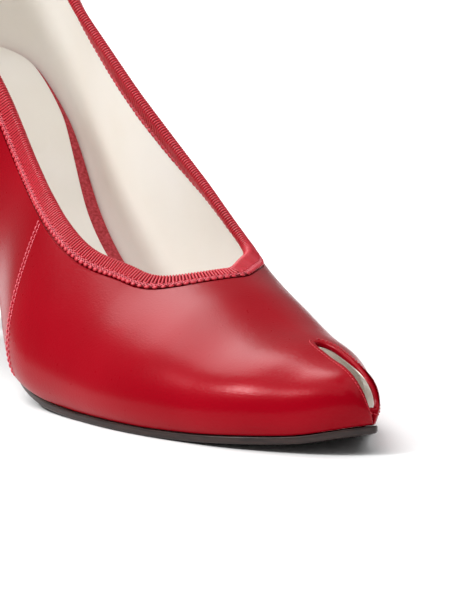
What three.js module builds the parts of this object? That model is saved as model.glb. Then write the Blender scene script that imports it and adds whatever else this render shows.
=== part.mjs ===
// A red leather pump with a narrow open slit at the toe and a high covered heel. It is a right shoe.
// Sizes are in millimetres. +X runs to the toe, +Y to the inner side of the foot and +Z up from the floor.
// Along the shoe, places are given as the distance behind the toe tip.
import * as THREE from "three";
import { mergeVertices } from "three/addons/utils/BufferGeometryUtils.js";

// Driving dimensions
const shoeLength = 222.5; // toe tip to the back of the seat, measured along the floor
const ballWidth = 66; // feather edge to feather edge at the ball
const seatWidth = 53; // the same at the heel seat
const instepHeight = 60; // arch of the last above its feather edge, where the shares below are one
const seatHeight = 74; // underside of the seat at its back, above the floor
const toeSpring = 5.3; // underside of the sole at the toe tip, above the floor
const treadFront = 50; // the flat tread under the ball starts here
const treadBack = 78; // and ends here
const toeRise = 12.8; // length over which the toe's ridge rounds up
const toeRound = 72; // length over which the toe's outline rounds in
const toeShift = 1.2; // the toe tip lies this far to the inner side
const shiftLength = 60; // and the shift dies out over this length
const seatRound = 27; // length over which the seat's outline rounds in
const throatPlace = 67.2; // front of the collar
const collarHeight = 57; // collar above the feather edge at the back of the heel
const backLean = 7; // the collar leans this far forward at the back
const leanLength = 80; // and the lean dies out over this length
const wallThickness = 1.8; // leather and lining together
const fitGap = 0.3; // clearance between pieces that touch
const bulge = 3; // overhang of the upper past its feather edge, where the share below is one
const bulgeHeight = 10; // height of the fullest place of that overhang
const bindingWidth = 4.8; // ribbon seen on each side of the collar's edge
const ribbonThickness = 0.5;
const skiveDepth = 0.5; // leather thinned on each side under the ribbon
const seamTop = 117; // side seam at the collar
const seamFoot = 107; // side seam at the feather edge
const seamStep = 0.35; // the vamp stands this proud of the quarter along the side seam
const seamFade = 12; // and the step dies out over this length of vamp
const slitStart = 4.3; // lower end of the toe slit, above the feather edge
const slitEnd = 25; // upper end of the toe slit, behind the toe tip
const slitLift = 0.35; // its edges keep this share of the ridge's height above the slit's lower end
const slitWidth = 5.2; // widest place of the toe slit
const insoleThickness = 1.6;
const sockThickness = 0.8;
const sockMargin = 4; // strip of insole left beside the sock, where the share below is one
const soleThickness = 2;
const soleMargin = 0.6; // sole edge outside the feather edge
const soleBevel = 0.6; // rounding of the sole's lower edge
const waistTuck = 3; // sole edge inside the feather edge at the waist
const waistDome = 1.2; // the sole is this much thicker along its middle at the waist
const breastPlace = 176; // front face of the heel at the sole
const liftLength = 14;
const liftWidth = 13;
const liftThickness = 5;
const liftSetForward = 9; // back of the top lift ahead of the back of the seat

// Powers and shares that shape the curves
const toeCrown = 2.2; // squareness of the toe's ridge as it rounds up
const leanGrowth = 1.6; // how fast the lean grows with height
const bulgeFade = 10; // how late the bulge dies out towards the ridge
const girthShare = 1.15; // girth of a half section against the straight way across it
const toeSpread = 0.25; // share of the columns that spread out towards the throat
const slitFootRound = 0.12; // share of the slit that rounds off its lower end
const slitTopRound = 0.1; // and its upper end
const breastTaper = 3.4; // how fast the heel's breast draws in below the seat
const backTaper = 1.7; // and its back
const sideTaper = 2.3; // and its sides

// The last in shares of the sizes above, by share of the length
const lastTable = [
  { at: 0.0, outer: 0.438, inner: 0.12, arch: 0.282, lean: 0.0 },
  { at: 0.049, outer: 0.455, inner: 0.19, arch: 0.281, lean: 0.027 },
  { at: 0.098, outer: 0.492, inner: 0.312, arch: 0.336, lean: 0.024 },
  { at: 0.17, outer: 0.519, inner: 0.378, arch: 0.403, lean: 0.016 },
  { at: 0.246, outer: 0.548, inner: 0.407, arch: 0.51, lean: 0.012 },
  { at: 0.326, outer: 0.569, inner: 0.442, arch: 0.602, lean: 0.044 },
  { at: 0.397, outer: 0.583, inner: 0.427, arch: 0.744, lean: 0.106 },
  { at: 0.478, outer: 0.573, inner: 0.392, arch: 0.868, lean: 0.158 },
  { at: 0.576, outer: 0.42, inner: 0.302, arch: 0.979, lean: 0.176 },
  { at: 0.692, outer: 0.335, inner: 0.31, arch: 0.95, lean: 0.155 },
];
// The seat in shares of the seat's width, the instep's height and the ball's width
const seatTable = [
  { at: 0.812, half: 0.49, arch: 1.01, lean: 0.045 },
  { at: 0.911, half: 0.5, arch: 1.18, lean: 0.015 },
  { at: 1.0, half: 0.51, arch: 1.28, lean: 0.0 },
];
// Squareness of the last's cross sections, 2 is an ellipse, and shares of the bulge
const sectionTable = [
  { at: 0.0, outer: 2.38, inner: 2.11, outerFull: 0.72, innerFull: 0.57 },
  { at: 0.089, outer: 2.28, inner: 2.02, outerFull: 0.7, innerFull: 0.5 },
  { at: 0.179, outer: 2.14, inner: 1.99, outerFull: 0.72, innerFull: 0.53 },
  { at: 0.268, outer: 1.95, inner: 2.04, outerFull: 0.75, innerFull: 0.62 },
  { at: 0.357, outer: 1.9, inner: 2.22, outerFull: 0.76, innerFull: 0.75 },
  { at: 0.469, outer: 1.95, inner: 2.44, outerFull: 0.7, innerFull: 0.84 },
  { at: 0.67, outer: 2.2, inner: 2.63, outerFull: 0.67, innerFull: 0.8 },
  { at: 0.88, outer: 2.5, inner: 2.5, outerFull: 0.45, innerFull: 0.45 },
  { at: 1.0, outer: 2.5, inner: 2.5, outerFull: 0.3, innerFull: 0.3 },
];
// Toe spring from the toe tip to the tread, in shares of that length and of the spring
const springTable = [
  { along: 0.0, rise: 1.0 },
  { along: 0.22, rise: 0.48 },
  { along: 0.44, rise: 0.28 },
  { along: 0.76, rise: 0.07 },
  { along: 1.0, rise: 0.0 },
];
// Underside of the sole behind the tread, in shares of the length left there and of the seat's height
const archTable = [
  { along: 0.0, rise: 0.0 },
  { along: 0.075, rise: 0.008 },
  { along: 0.2, rise: 0.061 },
  { along: 0.35, rise: 0.196 },
  { along: 0.527, rise: 0.433 },
  { along: 0.712, rise: 0.749 },
  { along: 0.863, rise: 0.933 },
  { along: 1.0, rise: 1.0 },
];
// Collar height above the feather edge, in shares of its height at the back, from the throat to the back
const collarTable = [
  { along: 0.04, outer: 0.575, inner: 0.62 },
  { along: 0.09, outer: 0.597, inner: 0.637 },
  { along: 0.18, outer: 0.633, inner: 0.755 },
  { along: 0.3, outer: 0.689, inner: 0.872 },
  { along: 0.44, outer: 0.691, inner: 0.95 },
  { along: 0.6, outer: 0.742, inner: 0.96 },
  { along: 0.76, outer: 0.81, inner: 0.95 },
  { along: 0.88, outer: 0.893, inner: 0.95 },
  { along: 1.0, outer: 1.0, inner: 1.0 },
];
// Half widths of the toe slit in shares of its width, by the root of the share of its length
const slitTable = [
  { root: 0.0, outer: 0.07, inner: 0.15 },
  { root: 0.2, outer: 0.227, inner: 0.338 },
  { root: 0.4, outer: 0.417, inner: 0.494 },
  { root: 0.6, outer: 0.437, inner: 0.569 },
  { root: 0.8, outer: 0.344, inner: 0.5 },
  { root: 1.0, outer: 0.215, inner: 0.302 },
];
// Width of insole left bare beside the sock, in shares of the sock's margin
const sockTable = [
  { at: 0.0, bare: 0.5 },
  { at: 0.3, bare: 1.0 },
  { at: 0.5, bare: 1.05 },
  { at: 0.66, bare: 1.1 },
  { at: 0.76, bare: 0.75 },
  { at: 0.82, bare: 0.4 },
  { at: 0.91, bare: 0.22 },
  { at: 1.0, bare: 0.2 },
];
// How far the sole's edge is tucked in, in shares of the waist's tuck
const tuckTable = [
  { at: 0.0, tuck: 0.0 },
  { at: 0.36, tuck: 0.0 },
  { at: 0.47, tuck: 0.55 },
  { at: 0.6, tuck: 1.0 },
  { at: 0.72, tuck: 0.8 },
  { at: 0.79, tuck: 0.4 },
  { at: 1.0, tuck: 0.3 },
];

// Smooth curve through points, with straight second derivatives between them
function smoothCurve(xs, ys) {
  const n = xs.length;
  const bend = new Array(n).fill(0);
  const pull = new Array(n).fill(0);
  for (let i = 1; i < n - 1; i++) {
    const share = (xs[i] - xs[i - 1]) / (xs[i + 1] - xs[i - 1]);
    const p = share * bend[i - 1] + 2;
    const rise = (ys[i + 1] - ys[i]) / (xs[i + 1] - xs[i]) - (ys[i] - ys[i - 1]) / (xs[i] - xs[i - 1]);
    bend[i] = (share - 1) / p;
    pull[i] = ((6 * rise) / (xs[i + 1] - xs[i - 1]) - share * pull[i - 1]) / p;
  }
  for (let i = n - 2; i > 0; i--) {
    bend[i] = bend[i] * bend[i + 1] + pull[i];
  }
  bend[0] = 0;
  return (x) => {
    let i = 0;
    while (i < n - 2 && x > xs[i + 1]) {
      i += 1;
    }
    const step = xs[i + 1] - xs[i];
    const a = (xs[i + 1] - x) / step;
    const b = 1 - a;
    const curved = (a ** 3 - a) * bend[i] + (b ** 3 - b) * bend[i + 1];
    return a * ys[i] + b * ys[i + 1] + (curved * step * step) / 6;
  };
}

// Curve through points that never overshoots them
function steadyCurve(xs, ys) {
  const n = xs.length;
  const slope = xs.map((x, i) => (i < n - 1 ? (ys[i + 1] - ys[i]) / (xs[i + 1] - x) : 0));
  const tangent = xs.map((x, i) => {
    if (i === 0 || i === n - 1) {
      return i === 0 ? slope[0] : slope[n - 2];
    }
    const before = slope[i - 1];
    const after = slope[i];
    if (before * after <= 0) {
      return 0;
    }
    const a = 2 * (xs[i + 1] - x) + (x - xs[i - 1]);
    const b = xs[i + 1] - x + 2 * (x - xs[i - 1]);
    return (a + b) / (a / before + b / after);
  });
  return (x) => {
    let i = 0;
    while (i < n - 2 && x > xs[i + 1]) {
      i += 1;
    }
    const step = xs[i + 1] - xs[i];
    const t = (x - xs[i]) / step;
    const start = (1 + 2 * t) * (1 - t) ** 2 * ys[i] + t * (1 - t) ** 2 * step * tangent[i];
    return start + t * t * (3 - 2 * t) * ys[i + 1] + t * t * (t - 1) * step * tangent[i + 1];
  };
}

const column = (table, name) => table.map((row) => row[name]);

function clamp(value, low, high) {
  return Math.min(high, Math.max(low, value));
}

// Quarter of a rounded corner: 0 at its start, 1 from its full length on
function roundOff(distance, length, power = 2) {
  const left = clamp(1 - distance / length, 0, 1);
  return (1 - left ** power) ** (1 / power);
}

// Outline, arch and squareness of the last behind the toe tip, side is -1 for outer and 1 for inner
const lastStops = [...column(lastTable, "at"), ...column(seatTable, "at")];
const lastPlaces = lastStops.map((share) => share * shoeLength);
const seatHalves = column(seatTable, "half").map((share) => share * seatWidth);
const sideHalf = (name) => column(lastTable, name).map((share) => share * ballWidth);
const outerCurve = smoothCurve(lastPlaces, [...sideHalf("outer"), ...seatHalves]);
const innerCurve = smoothCurve(lastPlaces, [...sideHalf("inner"), ...seatHalves]);
const archShares = [...column(lastTable, "arch"), ...column(seatTable, "arch")];
const archCurve = smoothCurve(lastPlaces, archShares.map((share) => share * instepHeight));
const leanShares = [...column(lastTable, "lean"), ...column(seatTable, "lean")];
const leanCurve = smoothCurve(lastPlaces, leanShares.map((share) => share * ballWidth));
const sectionPlaces = column(sectionTable, "at").map((share) => share * shoeLength);
const outerSquare = smoothCurve(sectionPlaces, column(sectionTable, "outer"));
const innerSquare = smoothCurve(sectionPlaces, column(sectionTable, "inner"));
const outerFull = smoothCurve(sectionPlaces, column(sectionTable, "outerFull"));
const innerFull = smoothCurve(sectionPlaces, column(sectionTable, "innerFull"));

function halfWidth(s, side) {
  const curve = side < 0 ? outerCurve : innerCurve;
  return curve(s) * roundOff(s, toeRound) * roundOff(shoeLength - s, seatRound);
}

const archHeight = (s) => archCurve(s) * roundOff(s, toeRise, toeCrown);
const middleLine = (s) => toeShift * clamp(1 - s / shiftLength, 0, 1) ** 2;
const ridgeOffset = (s) => leanCurve(s) * roundOff(s, toeRound);
const squareness = (s, side) => (side < 0 ? outerSquare(s) : innerSquare(s));

// Underside of the sole above the floor
const springPlaces = column(springTable, "along").map((share) => share * treadFront);
const springRises = column(springTable, "rise").map((share) => share * toeSpring);
const springCurve = steadyCurve(springPlaces, springRises);
const archLength = shoeLength - treadBack;
const archPlaces = column(archTable, "along").map((share) => treadBack + share * archLength);
const archRises = column(archTable, "rise").map((share) => share * seatHeight);
const riseCurve = steadyCurve(archPlaces, archRises);

function soleUnderside(s) {
  if (s < treadFront) {
    return springCurve(s);
  }
  return s > treadBack ? riseCurve(Math.min(s, shoeLength + seatRound)) : 0;
}

const soleTop = (s) => soleUnderside(s) + soleThickness;
const featherLevel = (s) => soleTop(s) + fitGap;

// Collar height above the feather edge, meeting the ridge at the throat
const collarLength = shoeLength - throatPlace;
const collarStops = [0, ...column(collarTable, "along")];
const collarPlaces = collarStops.map((share) => throatPlace + share * collarLength);
const throatArch = archHeight(throatPlace);
const collarHeights = (name) => column(collarTable, name).map((share) => share * collarHeight);
const outerCollar = smoothCurve(collarPlaces, [throatArch, ...collarHeights("outer")]);
const innerCollar = smoothCurve(collarPlaces, [throatArch, ...collarHeights("inner")]);

function collarAngle(s, side) {
  const height = (side < 0 ? outerCollar : innerCollar)(s);
  return Math.asin(clamp(height / archHeight(s), 0, 1) ** (squareness(s, side) / 2));
}

// Direction that points out of the feather edge in plan
function planNormal(s, side) {
  if (s <= 0 || s >= shoeLength) {
    return new THREE.Vector2(s <= 0 ? 1 : -1, 0);
  }
  const step = 0.01;
  const near = Math.max(s - step, 0);
  const far = Math.min(s + step, shoeLength);
  const edge = (place) => side * halfWidth(place, side) + middleLine(place);
  const slope = (side * (edge(far) - edge(near))) / (far - near);
  const size = Math.hypot(slope, 1);
  return new THREE.Vector2(slope / size, side / size);
}

const leanAt = (s) => clamp(1 - (shoeLength - s) / leanLength, 0, 1) ** 2;
const forwardLean = (s, height) => backLean * leanAt(s) * (height / collarHeight) ** leanGrowth;

// Point of the last: angle 0 is the feather edge and a right angle is the ridge
function lastPoint(s, angle, side) {
  const power = 2 / squareness(s, side);
  const reach = Math.max(Math.cos(angle), 0) ** power;
  const height = archHeight(s) * Math.sin(angle) ** power;
  const middle = ridgeOffset(s);
  const full = (side < 0 ? outerFull : innerFull)(s) * (1 - Math.sin(angle) ** bulgeFade);
  const swell = bulge * full * (height / bulgeHeight) * Math.exp(1 - height / bulgeHeight);
  const out = planNormal(s, side).multiplyScalar(swell);
  const across = middleLine(s) + middle + (side * halfWidth(s, side) - middle) * reach;
  return new THREE.Vector3(out.x - s + forwardLean(s, height), across + out.y, featherLevel(s) + height);
}

// Direction that points out of the last there
function lastNormal(s, angle, side) {
  const along = clamp(s, 0.05, shoeLength - 0.05);
  const turn = clamp(angle, 0.004, Math.PI / 2 - 0.004);
  const back = lastPoint(along + 0.04, turn, side).sub(lastPoint(along - 0.04, turn, side));
  const up = lastPoint(along, turn + 0.003, side).sub(lastPoint(along, turn - 0.003, side));
  return back.cross(up).normalize().multiplyScalar(side < 0 ? -1 : 1);
}

// A closed skin is collected from corners; equal corners are joined and empty faces dropped
class Skin {
  constructor() {
    this.corners = [];
    this.faces = [];
    this.known = new Map();
  }

  corner(point) {
    const key = [point.x, point.y, point.z].map((value) => Math.round(value * 2000)).join();
    if (!this.known.has(key)) {
      this.known.set(key, this.corners.length);
      this.corners.push(point.clone());
    }
    return this.known.get(key);
  }

  triangle(a, b, c) {
    const face = [a, b, c].map((point) => this.corner(point));
    if (face[0] !== face[1] && face[1] !== face[2] && face[2] !== face[0]) {
      this.faces.push(face);
    }
  }

  quad(a, b, c, d) {
    if (a.distanceTo(c) <= b.distanceTo(d)) {
      this.triangle(a, b, c);
      this.triangle(a, c, d);
    } else {
      this.triangle(a, b, d);
      this.triangle(b, c, d);
    }
  }

  // Rows of points joined side by side, closed round each row when asked
  sheet(rows, closed = false, flip = false) {
    for (let i = 0; i < rows.length - 1; i++) {
      const count = rows[i].length - (closed ? 0 : 1);
      for (let j = 0; j < count; j++) {
        const k = (j + 1) % rows[i].length;
        const ring = [rows[i][j], rows[i][k], rows[i + 1][k], rows[i + 1][j]];
        if (flip) {
          ring.reverse();
        }
        this.quad(...ring);
      }
    }
  }

  geometry() {
    const geometry = new THREE.BufferGeometry();
    const flat = this.corners.flatMap((point) => [point.x, point.y, point.z]);
    geometry.setAttribute("position", new THREE.Float32BufferAttribute(flat, 3));
    geometry.setIndex(this.faces.flat());
    return geometry;
  }
}

// The upper's columns run from the toe's middle line to the heel's, with the side seam on one of them
const columnCount = 30;
const seamColumn = 15;
const ease = (share) => (1 - Math.cos(Math.PI * share)) / 2;
const seamEase = ease(seamColumn / columnCount);
const featherShare = steadyCurve([0, seamEase, 1], [0, seamFoot / shoeLength, 1]);
const collarShare = steadyCurve([0, seamEase, 1], [0, (seamTop - throatPlace) / collarLength, 1]);

function columnPlace(index) {
  const share = ease(index / columnCount);
  return {
    share: index / columnCount,
    foot: shoeLength * featherShare(share),
    top: throatPlace + collarLength * collarShare(share),
  };
}

// Half girth of the last, used to lay the columns out as on a flat pattern
const halfGirth = (s, side) => girthShare * Math.hypot(halfWidth(s, side), archHeight(s));

// The toe slit's lower end, and its half width on each side of the ridge
const slitFoot = (() => {
  let s = 0;
  while (archHeight(s) < slitStart) {
    s += 0.01;
  }
  return s;
})();
const slitRoots = column(slitTable, "root");
const slitOuter = smoothCurve(slitRoots, column(slitTable, "outer"));
const slitInner = smoothCurve(slitRoots, column(slitTable, "inner"));

// Part of the half girth that the slit takes on that side of the ridge, held above the slit's lower end
function slitHalf(s, side) {
  const share = (s - slitFoot) / (slitEnd - slitFoot);
  if (share <= 1e-6 || share >= 1 - 1e-6) {
    return 0;
  }
  const root = Math.sqrt(share);
  const ends = roundOff(root, slitFootRound) * roundOff(1 - root, slitTopRound);
  const width = slitWidth * (side < 0 ? slitOuter : slitInner)(root) * ends;
  const half = Math.abs(side * halfWidth(s, side) - ridgeOffset(s));
  const power = squareness(s, side) / 2;
  const byWidth = Math.asin(clamp(width / half, 0, 1) ** power);
  const lowest = slitStart + slitLift * (archHeight(s) - slitStart);
  const byHeight = Math.acos((lowest / archHeight(s)) ** power);
  const softLeast = (byWidth ** -4 + byHeight ** -4) ** -0.25;
  return halfGirth(s, side) * (softLeast / (Math.PI / 2));
}

// Place on the last of a column's point: v is 0 at the feather edge and 1 at the collar
function patternPoint(place, v, side) {
  const hurry = 1 + clamp(1 - place.share / toeSpread, 0, 1);
  const s = place.foot + (place.top - place.foot) * v ** hurry;
  const start = halfGirth(place.foot, side);
  const belowRidge = 1 - collarAngle(place.top, side) / (Math.PI / 2);
  const end = place.share === 0 ? 0 : halfGirth(place.top, side) * belowRidge;
  const girth = halfGirth(s, side);
  let across = place.share === 0 ? 0 : Math.min(start + (end - start) * v, girth);
  if (girth > 0) {
    const gap = Math.min(slitHalf(s, side), girth);
    across = gap + across * (1 - gap / girth);
  }
  const angle = girth > 0 ? (Math.PI / 2) * (1 - across / girth) : 0;
  return { s, angle: clamp(angle, 0, Math.PI / 2) };
}

// The two sides share the line up the heel, and the ridge where the slit leaves it closed
function bothSides(place, v) {
  const atSlit = slitHalf(patternPoint(place, v, 1).s, 1) > 0;
  return place.share === 1 || (place.share === 0 && !atSlit);
}

function sideValue(place, v, side, value) {
  const onSide = (which) => {
    const spot = patternPoint(place, v, which);
    return value(spot.s, spot.angle, which);
  };
  if (!bothSides(place, v)) {
    return onSide(side);
  }
  const shared = onSide(-1).add(onSide(1)).multiplyScalar(0.5);
  if (place.share === 1) {
    shared.y = 0;
  }
  return shared;
}

const surfacePoint = (place, v, side) => sideValue(place, v, side, lastPoint);
const surfaceNormal = (place, v, side) => sideValue(place, v, side, lastNormal).normalize();

// Share of each column that lies a given distance below the collar
const collarLine = [-1, 1].map((side) => {
  const points = [];
  for (let i = 0; i <= columnCount * 2; i++) {
    points.push(surfacePoint(columnPlace(i / 2), 1, side));
  }
  return points;
});

function distanceToCollar(point, side) {
  const line = collarLine[side < 0 ? 0 : 1];
  const segment = new THREE.Line3();
  const closest = new THREE.Vector3();
  let best = Infinity;
  for (let i = 0; i < line.length - 1; i++) {
    segment.set(line[i], line[i + 1]);
    segment.closestPointToPoint(point, true, closest);
    best = Math.min(best, closest.distanceTo(point));
  }
  return best;
}

function shareBelowCollar(place, distance, side) {
  if (side > 0 && (place.share === 0 || place.share === 1)) {
    return shareBelowCollar(place, distance, -1);
  }
  let low = 0.5;
  let high = 1;
  for (let k = 0; k < 18; k++) {
    const middle = (low + high) / 2;
    if (distanceToCollar(surfacePoint(place, middle, side), side) > distance) {
      low = middle;
    } else {
      high = middle;
    }
  }
  return (low + high) / 2;
}

// Rows of the upper below the binding, with two on the ends of the toe slit
const stepShare = (place, side) => shareBelowCollar(place, bindingWidth + fitGap, side);
const middleColumn = columnPlace(0);
const middleShare = stepShare(middleColumn, -1);
const rowAt = (s) => Math.sqrt(s / throatPlace) / middleShare;
const slitRowCount = 7;
const topCrowding = 1.3; // the rows crowd towards the slit's ends by these powers
const footCrowding = 1.9;
const slitRows = [];
for (let k = 0; k <= slitRowCount; k++) {
  const share = 1 - (1 - k / slitRowCount) ** topCrowding;
  slitRows.push(rowAt(slitFoot + (slitEnd - slitFoot) * share ** footCrowding));
}
const upperRows = [0, ...slitRows];
const lastSlitRow = upperRows[upperRows.length - 1];
for (let k = 1; k <= 3; k++) {
  upperRows.push(lastSlitRow + ((1 - lastSlitRow) * k) / 3);
}

// Columns with the side seam's step: each holds its place and how proud the vamp stands there
const upperColumns = [];
for (let i = 0; i <= columnCount; i++) {
  const place = columnPlace(i);
  const seam = columnPlace(seamColumn);
  const ahead = (seam.foot + seam.top - place.foot - place.top) / 2;
  const proud = i > seamColumn ? 0 : seamStep * clamp(1 - ahead / seamFade, 0, 1);
  upperColumns.push({ place, proud });
  if (i === seamColumn) {
    upperColumns.push({ place, proud: 0 });
  }
}

function offsetPoint(place, v, side, distance) {
  return surfacePoint(place, v, side).addScaledVector(surfaceNormal(place, v, side), distance);
}

// Point of the feather edge moved in by a distance, on the level that the sole gives it there
function innerFeather(s, side, distance, level) {
  const out = planNormal(s, side);
  const point = new THREE.Vector3(-s, side * halfWidth(s, side) + middleLine(s), 0);
  point.x -= out.x * distance;
  point.y -= out.y * distance;
  const middle = middleLine(s);
  if (s === 0 || s === shoeLength || side * (point.y - middle) < 0) {
    point.y = middle;
  }
  point.z = level(-point.x);
  return point;
}

function makeUpper() {
  const skin = new Skin();
  for (const side of [-1, 1]) {
    const outside = [];
    const inside = [];
    for (const { place, proud } of upperColumns) {
      const low = stepShare(place, side);
      const outer = upperRows.map((row) => offsetPoint(place, row * low, side, proud));
      const inner = upperRows.map((row) => offsetPoint(place, row * low, side, -wallThickness));
      outer[0] = innerFeather(place.foot, side, -proud, featherLevel);
      inner[0] = innerFeather(place.foot, side, wallThickness, featherLevel);
      for (const v of [low, (low + 1) / 2, 1]) {
        outer.push(offsetPoint(place, v, side, -skiveDepth));
        inner.push(offsetPoint(place, v, side, skiveDepth - wallThickness));
      }
      outside.push(outer);
      inside.push(inner);
    }
    const last = outside[0].length - 1;
    skin.sheet(outside, false, side > 0);
    skin.sheet(inside, false, side < 0);
    skin.sheet([outside.map((line) => line[0]), inside.map((line) => line[0])], false, side > 0);
    skin.sheet([outside.map((line) => line[last]), inside.map((line) => line[last])], false, side < 0);
    const lips = [outside[0].slice(1, slitRowCount + 2), inside[0].slice(1, slitRowCount + 2)];
    skin.sheet(lips, false, side < 0);
  }
  return skin.geometry();
}

function makeBinding() {
  const skin = new Skin();
  const cavity = wallThickness / 2 - skiveDepth + fitGap;
  const reach = cavity + ribbonThickness;
  const crown = fitGap + ribbonThickness;
  for (const side of [-1, 1]) {
    const rings = upperColumns.map(({ place }) => {
      const edge = shareBelowCollar(place, bindingWidth, side);
      const middle = (edge + 1) / 2;
      const normal = surfaceNormal(place, 1, side);
      const centre = surfacePoint(place, 1, side).addScaledVector(normal, -wallThickness / 2);
      const rise = surfacePoint(place, 1, side).sub(surfacePoint(place, 0.98, side));
      rise.addScaledVector(normal, -rise.dot(normal));
      rise.normalize();
      const leg = (v, distance) => offsetPoint(place, v, side, distance - wallThickness / 2);
      const local = (out, up) => centre.clone().addScaledVector(normal, out).addScaledVector(rise, up);
      const ring = [leg(edge, reach), leg(middle, reach), leg(1, reach)];
      for (const turn of [0.25, 0.5, 0.75]) {
        ring.push(local(reach * Math.cos(Math.PI * turn), crown * Math.sin(Math.PI * turn)));
      }
      ring.push(leg(1, -reach), leg(middle, -reach), leg(edge, -reach));
      ring.push(leg(edge, -cavity), leg(middle, -cavity), local(-cavity, fitGap));
      ring.push(local(cavity, fitGap), leg(middle, cavity), leg(edge, cavity));
      return ring;
    });
    skin.sheet(rings, true, side > 0);
  }
  return skin.geometry();
}

// Stations along the shoe, closer at the round ends
function stations(from, to, count, roundStart, roundEnd) {
  const places = [];
  for (let i = 0; i <= count; i++) {
    let share = i / count;
    if (roundStart && roundEnd) {
      share = ease(share);
    } else if (roundStart) {
      share = 1 - Math.cos((Math.PI / 2) * share);
    } else if (roundEnd) {
      share = Math.sin((Math.PI / 2) * share);
    }
    places.push(from + (to - from) * share);
  }
  return places;
}

// Flat pad between two edge lines that are moved in from the feather edge, with its top and bottom levels
function makePad(places, inset, bottom, top) {
  const skin = new Skin();
  const edge = (side, level) => places.map((s) => innerFeather(s, side, inset(s), level));
  const outerLow = edge(-1, bottom);
  const outerHigh = edge(-1, top);
  const innerLow = edge(1, bottom);
  const innerHigh = edge(1, top);
  skin.sheet([outerLow, outerHigh, innerHigh, innerLow, outerLow], false, true);
  return skin.geometry();
}

const insoleInset = wallThickness + fitGap;
const insoleTop = (s) => featherLevel(s) + insoleThickness;
const sockBottom = (s) => insoleTop(s) + fitGap;
const sockTop = (s) => sockBottom(s) + sockThickness;
const sockPlaces = column(sockTable, "at").map((share) => share * shoeLength);
const bareCurve = steadyCurve(sockPlaces, column(sockTable, "bare").map((share) => share * sockMargin));

// The sole's edge outside the feather edge, tucked in at the waist
const tuckPlaces = column(tuckTable, "at").map((share) => share * shoeLength);
const tuckCurve = steadyCurve(tuckPlaces, column(tuckTable, "tuck").map((share) => share * waistTuck));
const soleInset = (s) => tuckCurve(s) - soleMargin;
const waistFront = treadBack;
const waistBack = breastPlace;

function domeAt(s) {
  const share = clamp((s - waistFront) / (waistBack - waistFront), 0, 1);
  return waistDome * Math.sin(Math.PI * share) ** 2;
}

function makeSole() {
  const skin = new Skin();
  const front = stations(0, treadFront, 9, true, false);
  const tread = stations(treadFront, treadBack, 3, false, false).slice(1);
  const back = stations(treadBack, breastPlace - fitGap, 14, false, false).slice(1);
  const rings = [...front, ...tread, ...back].map((s) => {
    const wall = (side, inset, level) => innerFeather(s, side, soleInset(s) + inset, level);
    const lift = (x) => soleUnderside(x) + soleBevel;
    const outerLow = wall(-1, soleBevel, soleUnderside);
    const innerLow = wall(1, soleBevel, soleUnderside);
    const ring = [wall(-1, 0, soleTop), wall(-1, 0, lift), outerLow];
    for (const share of [0.3, 0.7]) {
      const point = outerLow.clone().lerp(innerLow, share);
      point.z -= domeAt(s);
      ring.push(point);
    }
    ring.push(innerLow, wall(1, 0, lift), wall(1, 0, soleTop));
    return ring;
  });
  skin.sheet(rings, true, true);
  const end = rings[rings.length - 1];
  for (let k = 1; k < end.length - 1; k++) {
    skin.triangle(end[0], end[k + 1], end[k]);
  }
  return skin.geometry();
}

// The covered heel: rings that shrink from the seat to the top lift, the breast faster than the back
const liftBack = -(shoeLength - liftSetForward);
const liftFront = liftBack + liftLength;
const seatLength = shoeLength - breastPlace;
const heelBottom = liftThickness + fitGap;
const seatHalf = (side) => halfWidth(breastPlace, side);

function heelRing(level) {
  const places = stations(breastPlace, shoeLength, 10, false, true);
  const lowest = (s) => (s - breastPlace) / seatLength;
  const point = (s, side, y) => {
    const back = lowest(s);
    const top = new THREE.Vector3(-s, y, soleTop(s));
    const across = (y / seatHalf(side)) * (liftWidth / 2);
    const foot = new THREE.Vector3(liftFront - liftLength * back, across, heelBottom);
    const keepX = (1 - level) ** (breastTaper + (backTaper - breastTaper) * back);
    const keepY = (1 - level) ** sideTaper;
    return new THREE.Vector3(
      foot.x + (top.x - foot.x) * keepX,
      foot.y + (top.y - foot.y) * keepY,
      top.z + (foot.z - top.z) * level,
    );
  };
  const ring = places.map((s) => point(s, -1, -halfWidth(s, -1)));
  ring.push(...places.slice(0, -1).reverse().map((s) => point(s, 1, halfWidth(s, 1))));
  for (const share of [0.25, 0.5, 0.75]) {
    const y = halfWidth(breastPlace, 1) * (1 - share) - halfWidth(breastPlace, -1) * share;
    ring.push(point(breastPlace, y < 0 ? -1 : 1, y));
  }
  return ring;
}

function closeRing(skin, ring, flip) {
  const count = 10;
  const add = (a, b, c) => (flip ? skin.triangle(c, b, a) : skin.triangle(a, b, c));
  const inner = (i) => ring[2 * count - i];
  for (let i = 1; i < count; i++) {
    add(ring[i], inner(i), inner(i + 1));
    add(ring[i], inner(i + 1), ring[i + 1]);
  }
  const front = [ring[0], ...ring.slice(2 * count).reverse()];
  for (let k = 0; k < front.length - 1; k++) {
    add(ring[1], front[k], front[k + 1]);
  }
  add(ring[1], front[front.length - 1], inner(1));
}

function makeHeel() {
  const skin = new Skin();
  const levels = [0, 0.05, 0.11, 0.18, 0.27, 0.38, 0.52, 0.68, 0.84, 1];
  const rings = levels.map(heelRing);
  skin.sheet(rings, true, false);
  closeRing(skin, rings[0], false);
  closeRing(skin, rings[rings.length - 1], true);
  return skin.geometry();
}

function makeLift() {
  const skin = new Skin();
  const shape = heelRing(1);
  const high = shape.map((point) => point.clone().setZ(liftThickness));
  const low = shape.map((point) => point.clone().setZ(0));
  skin.sheet([high, low], true, false);
  closeRing(skin, high, false);
  closeRing(skin, low, true);
  return skin.geometry();
}

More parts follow.
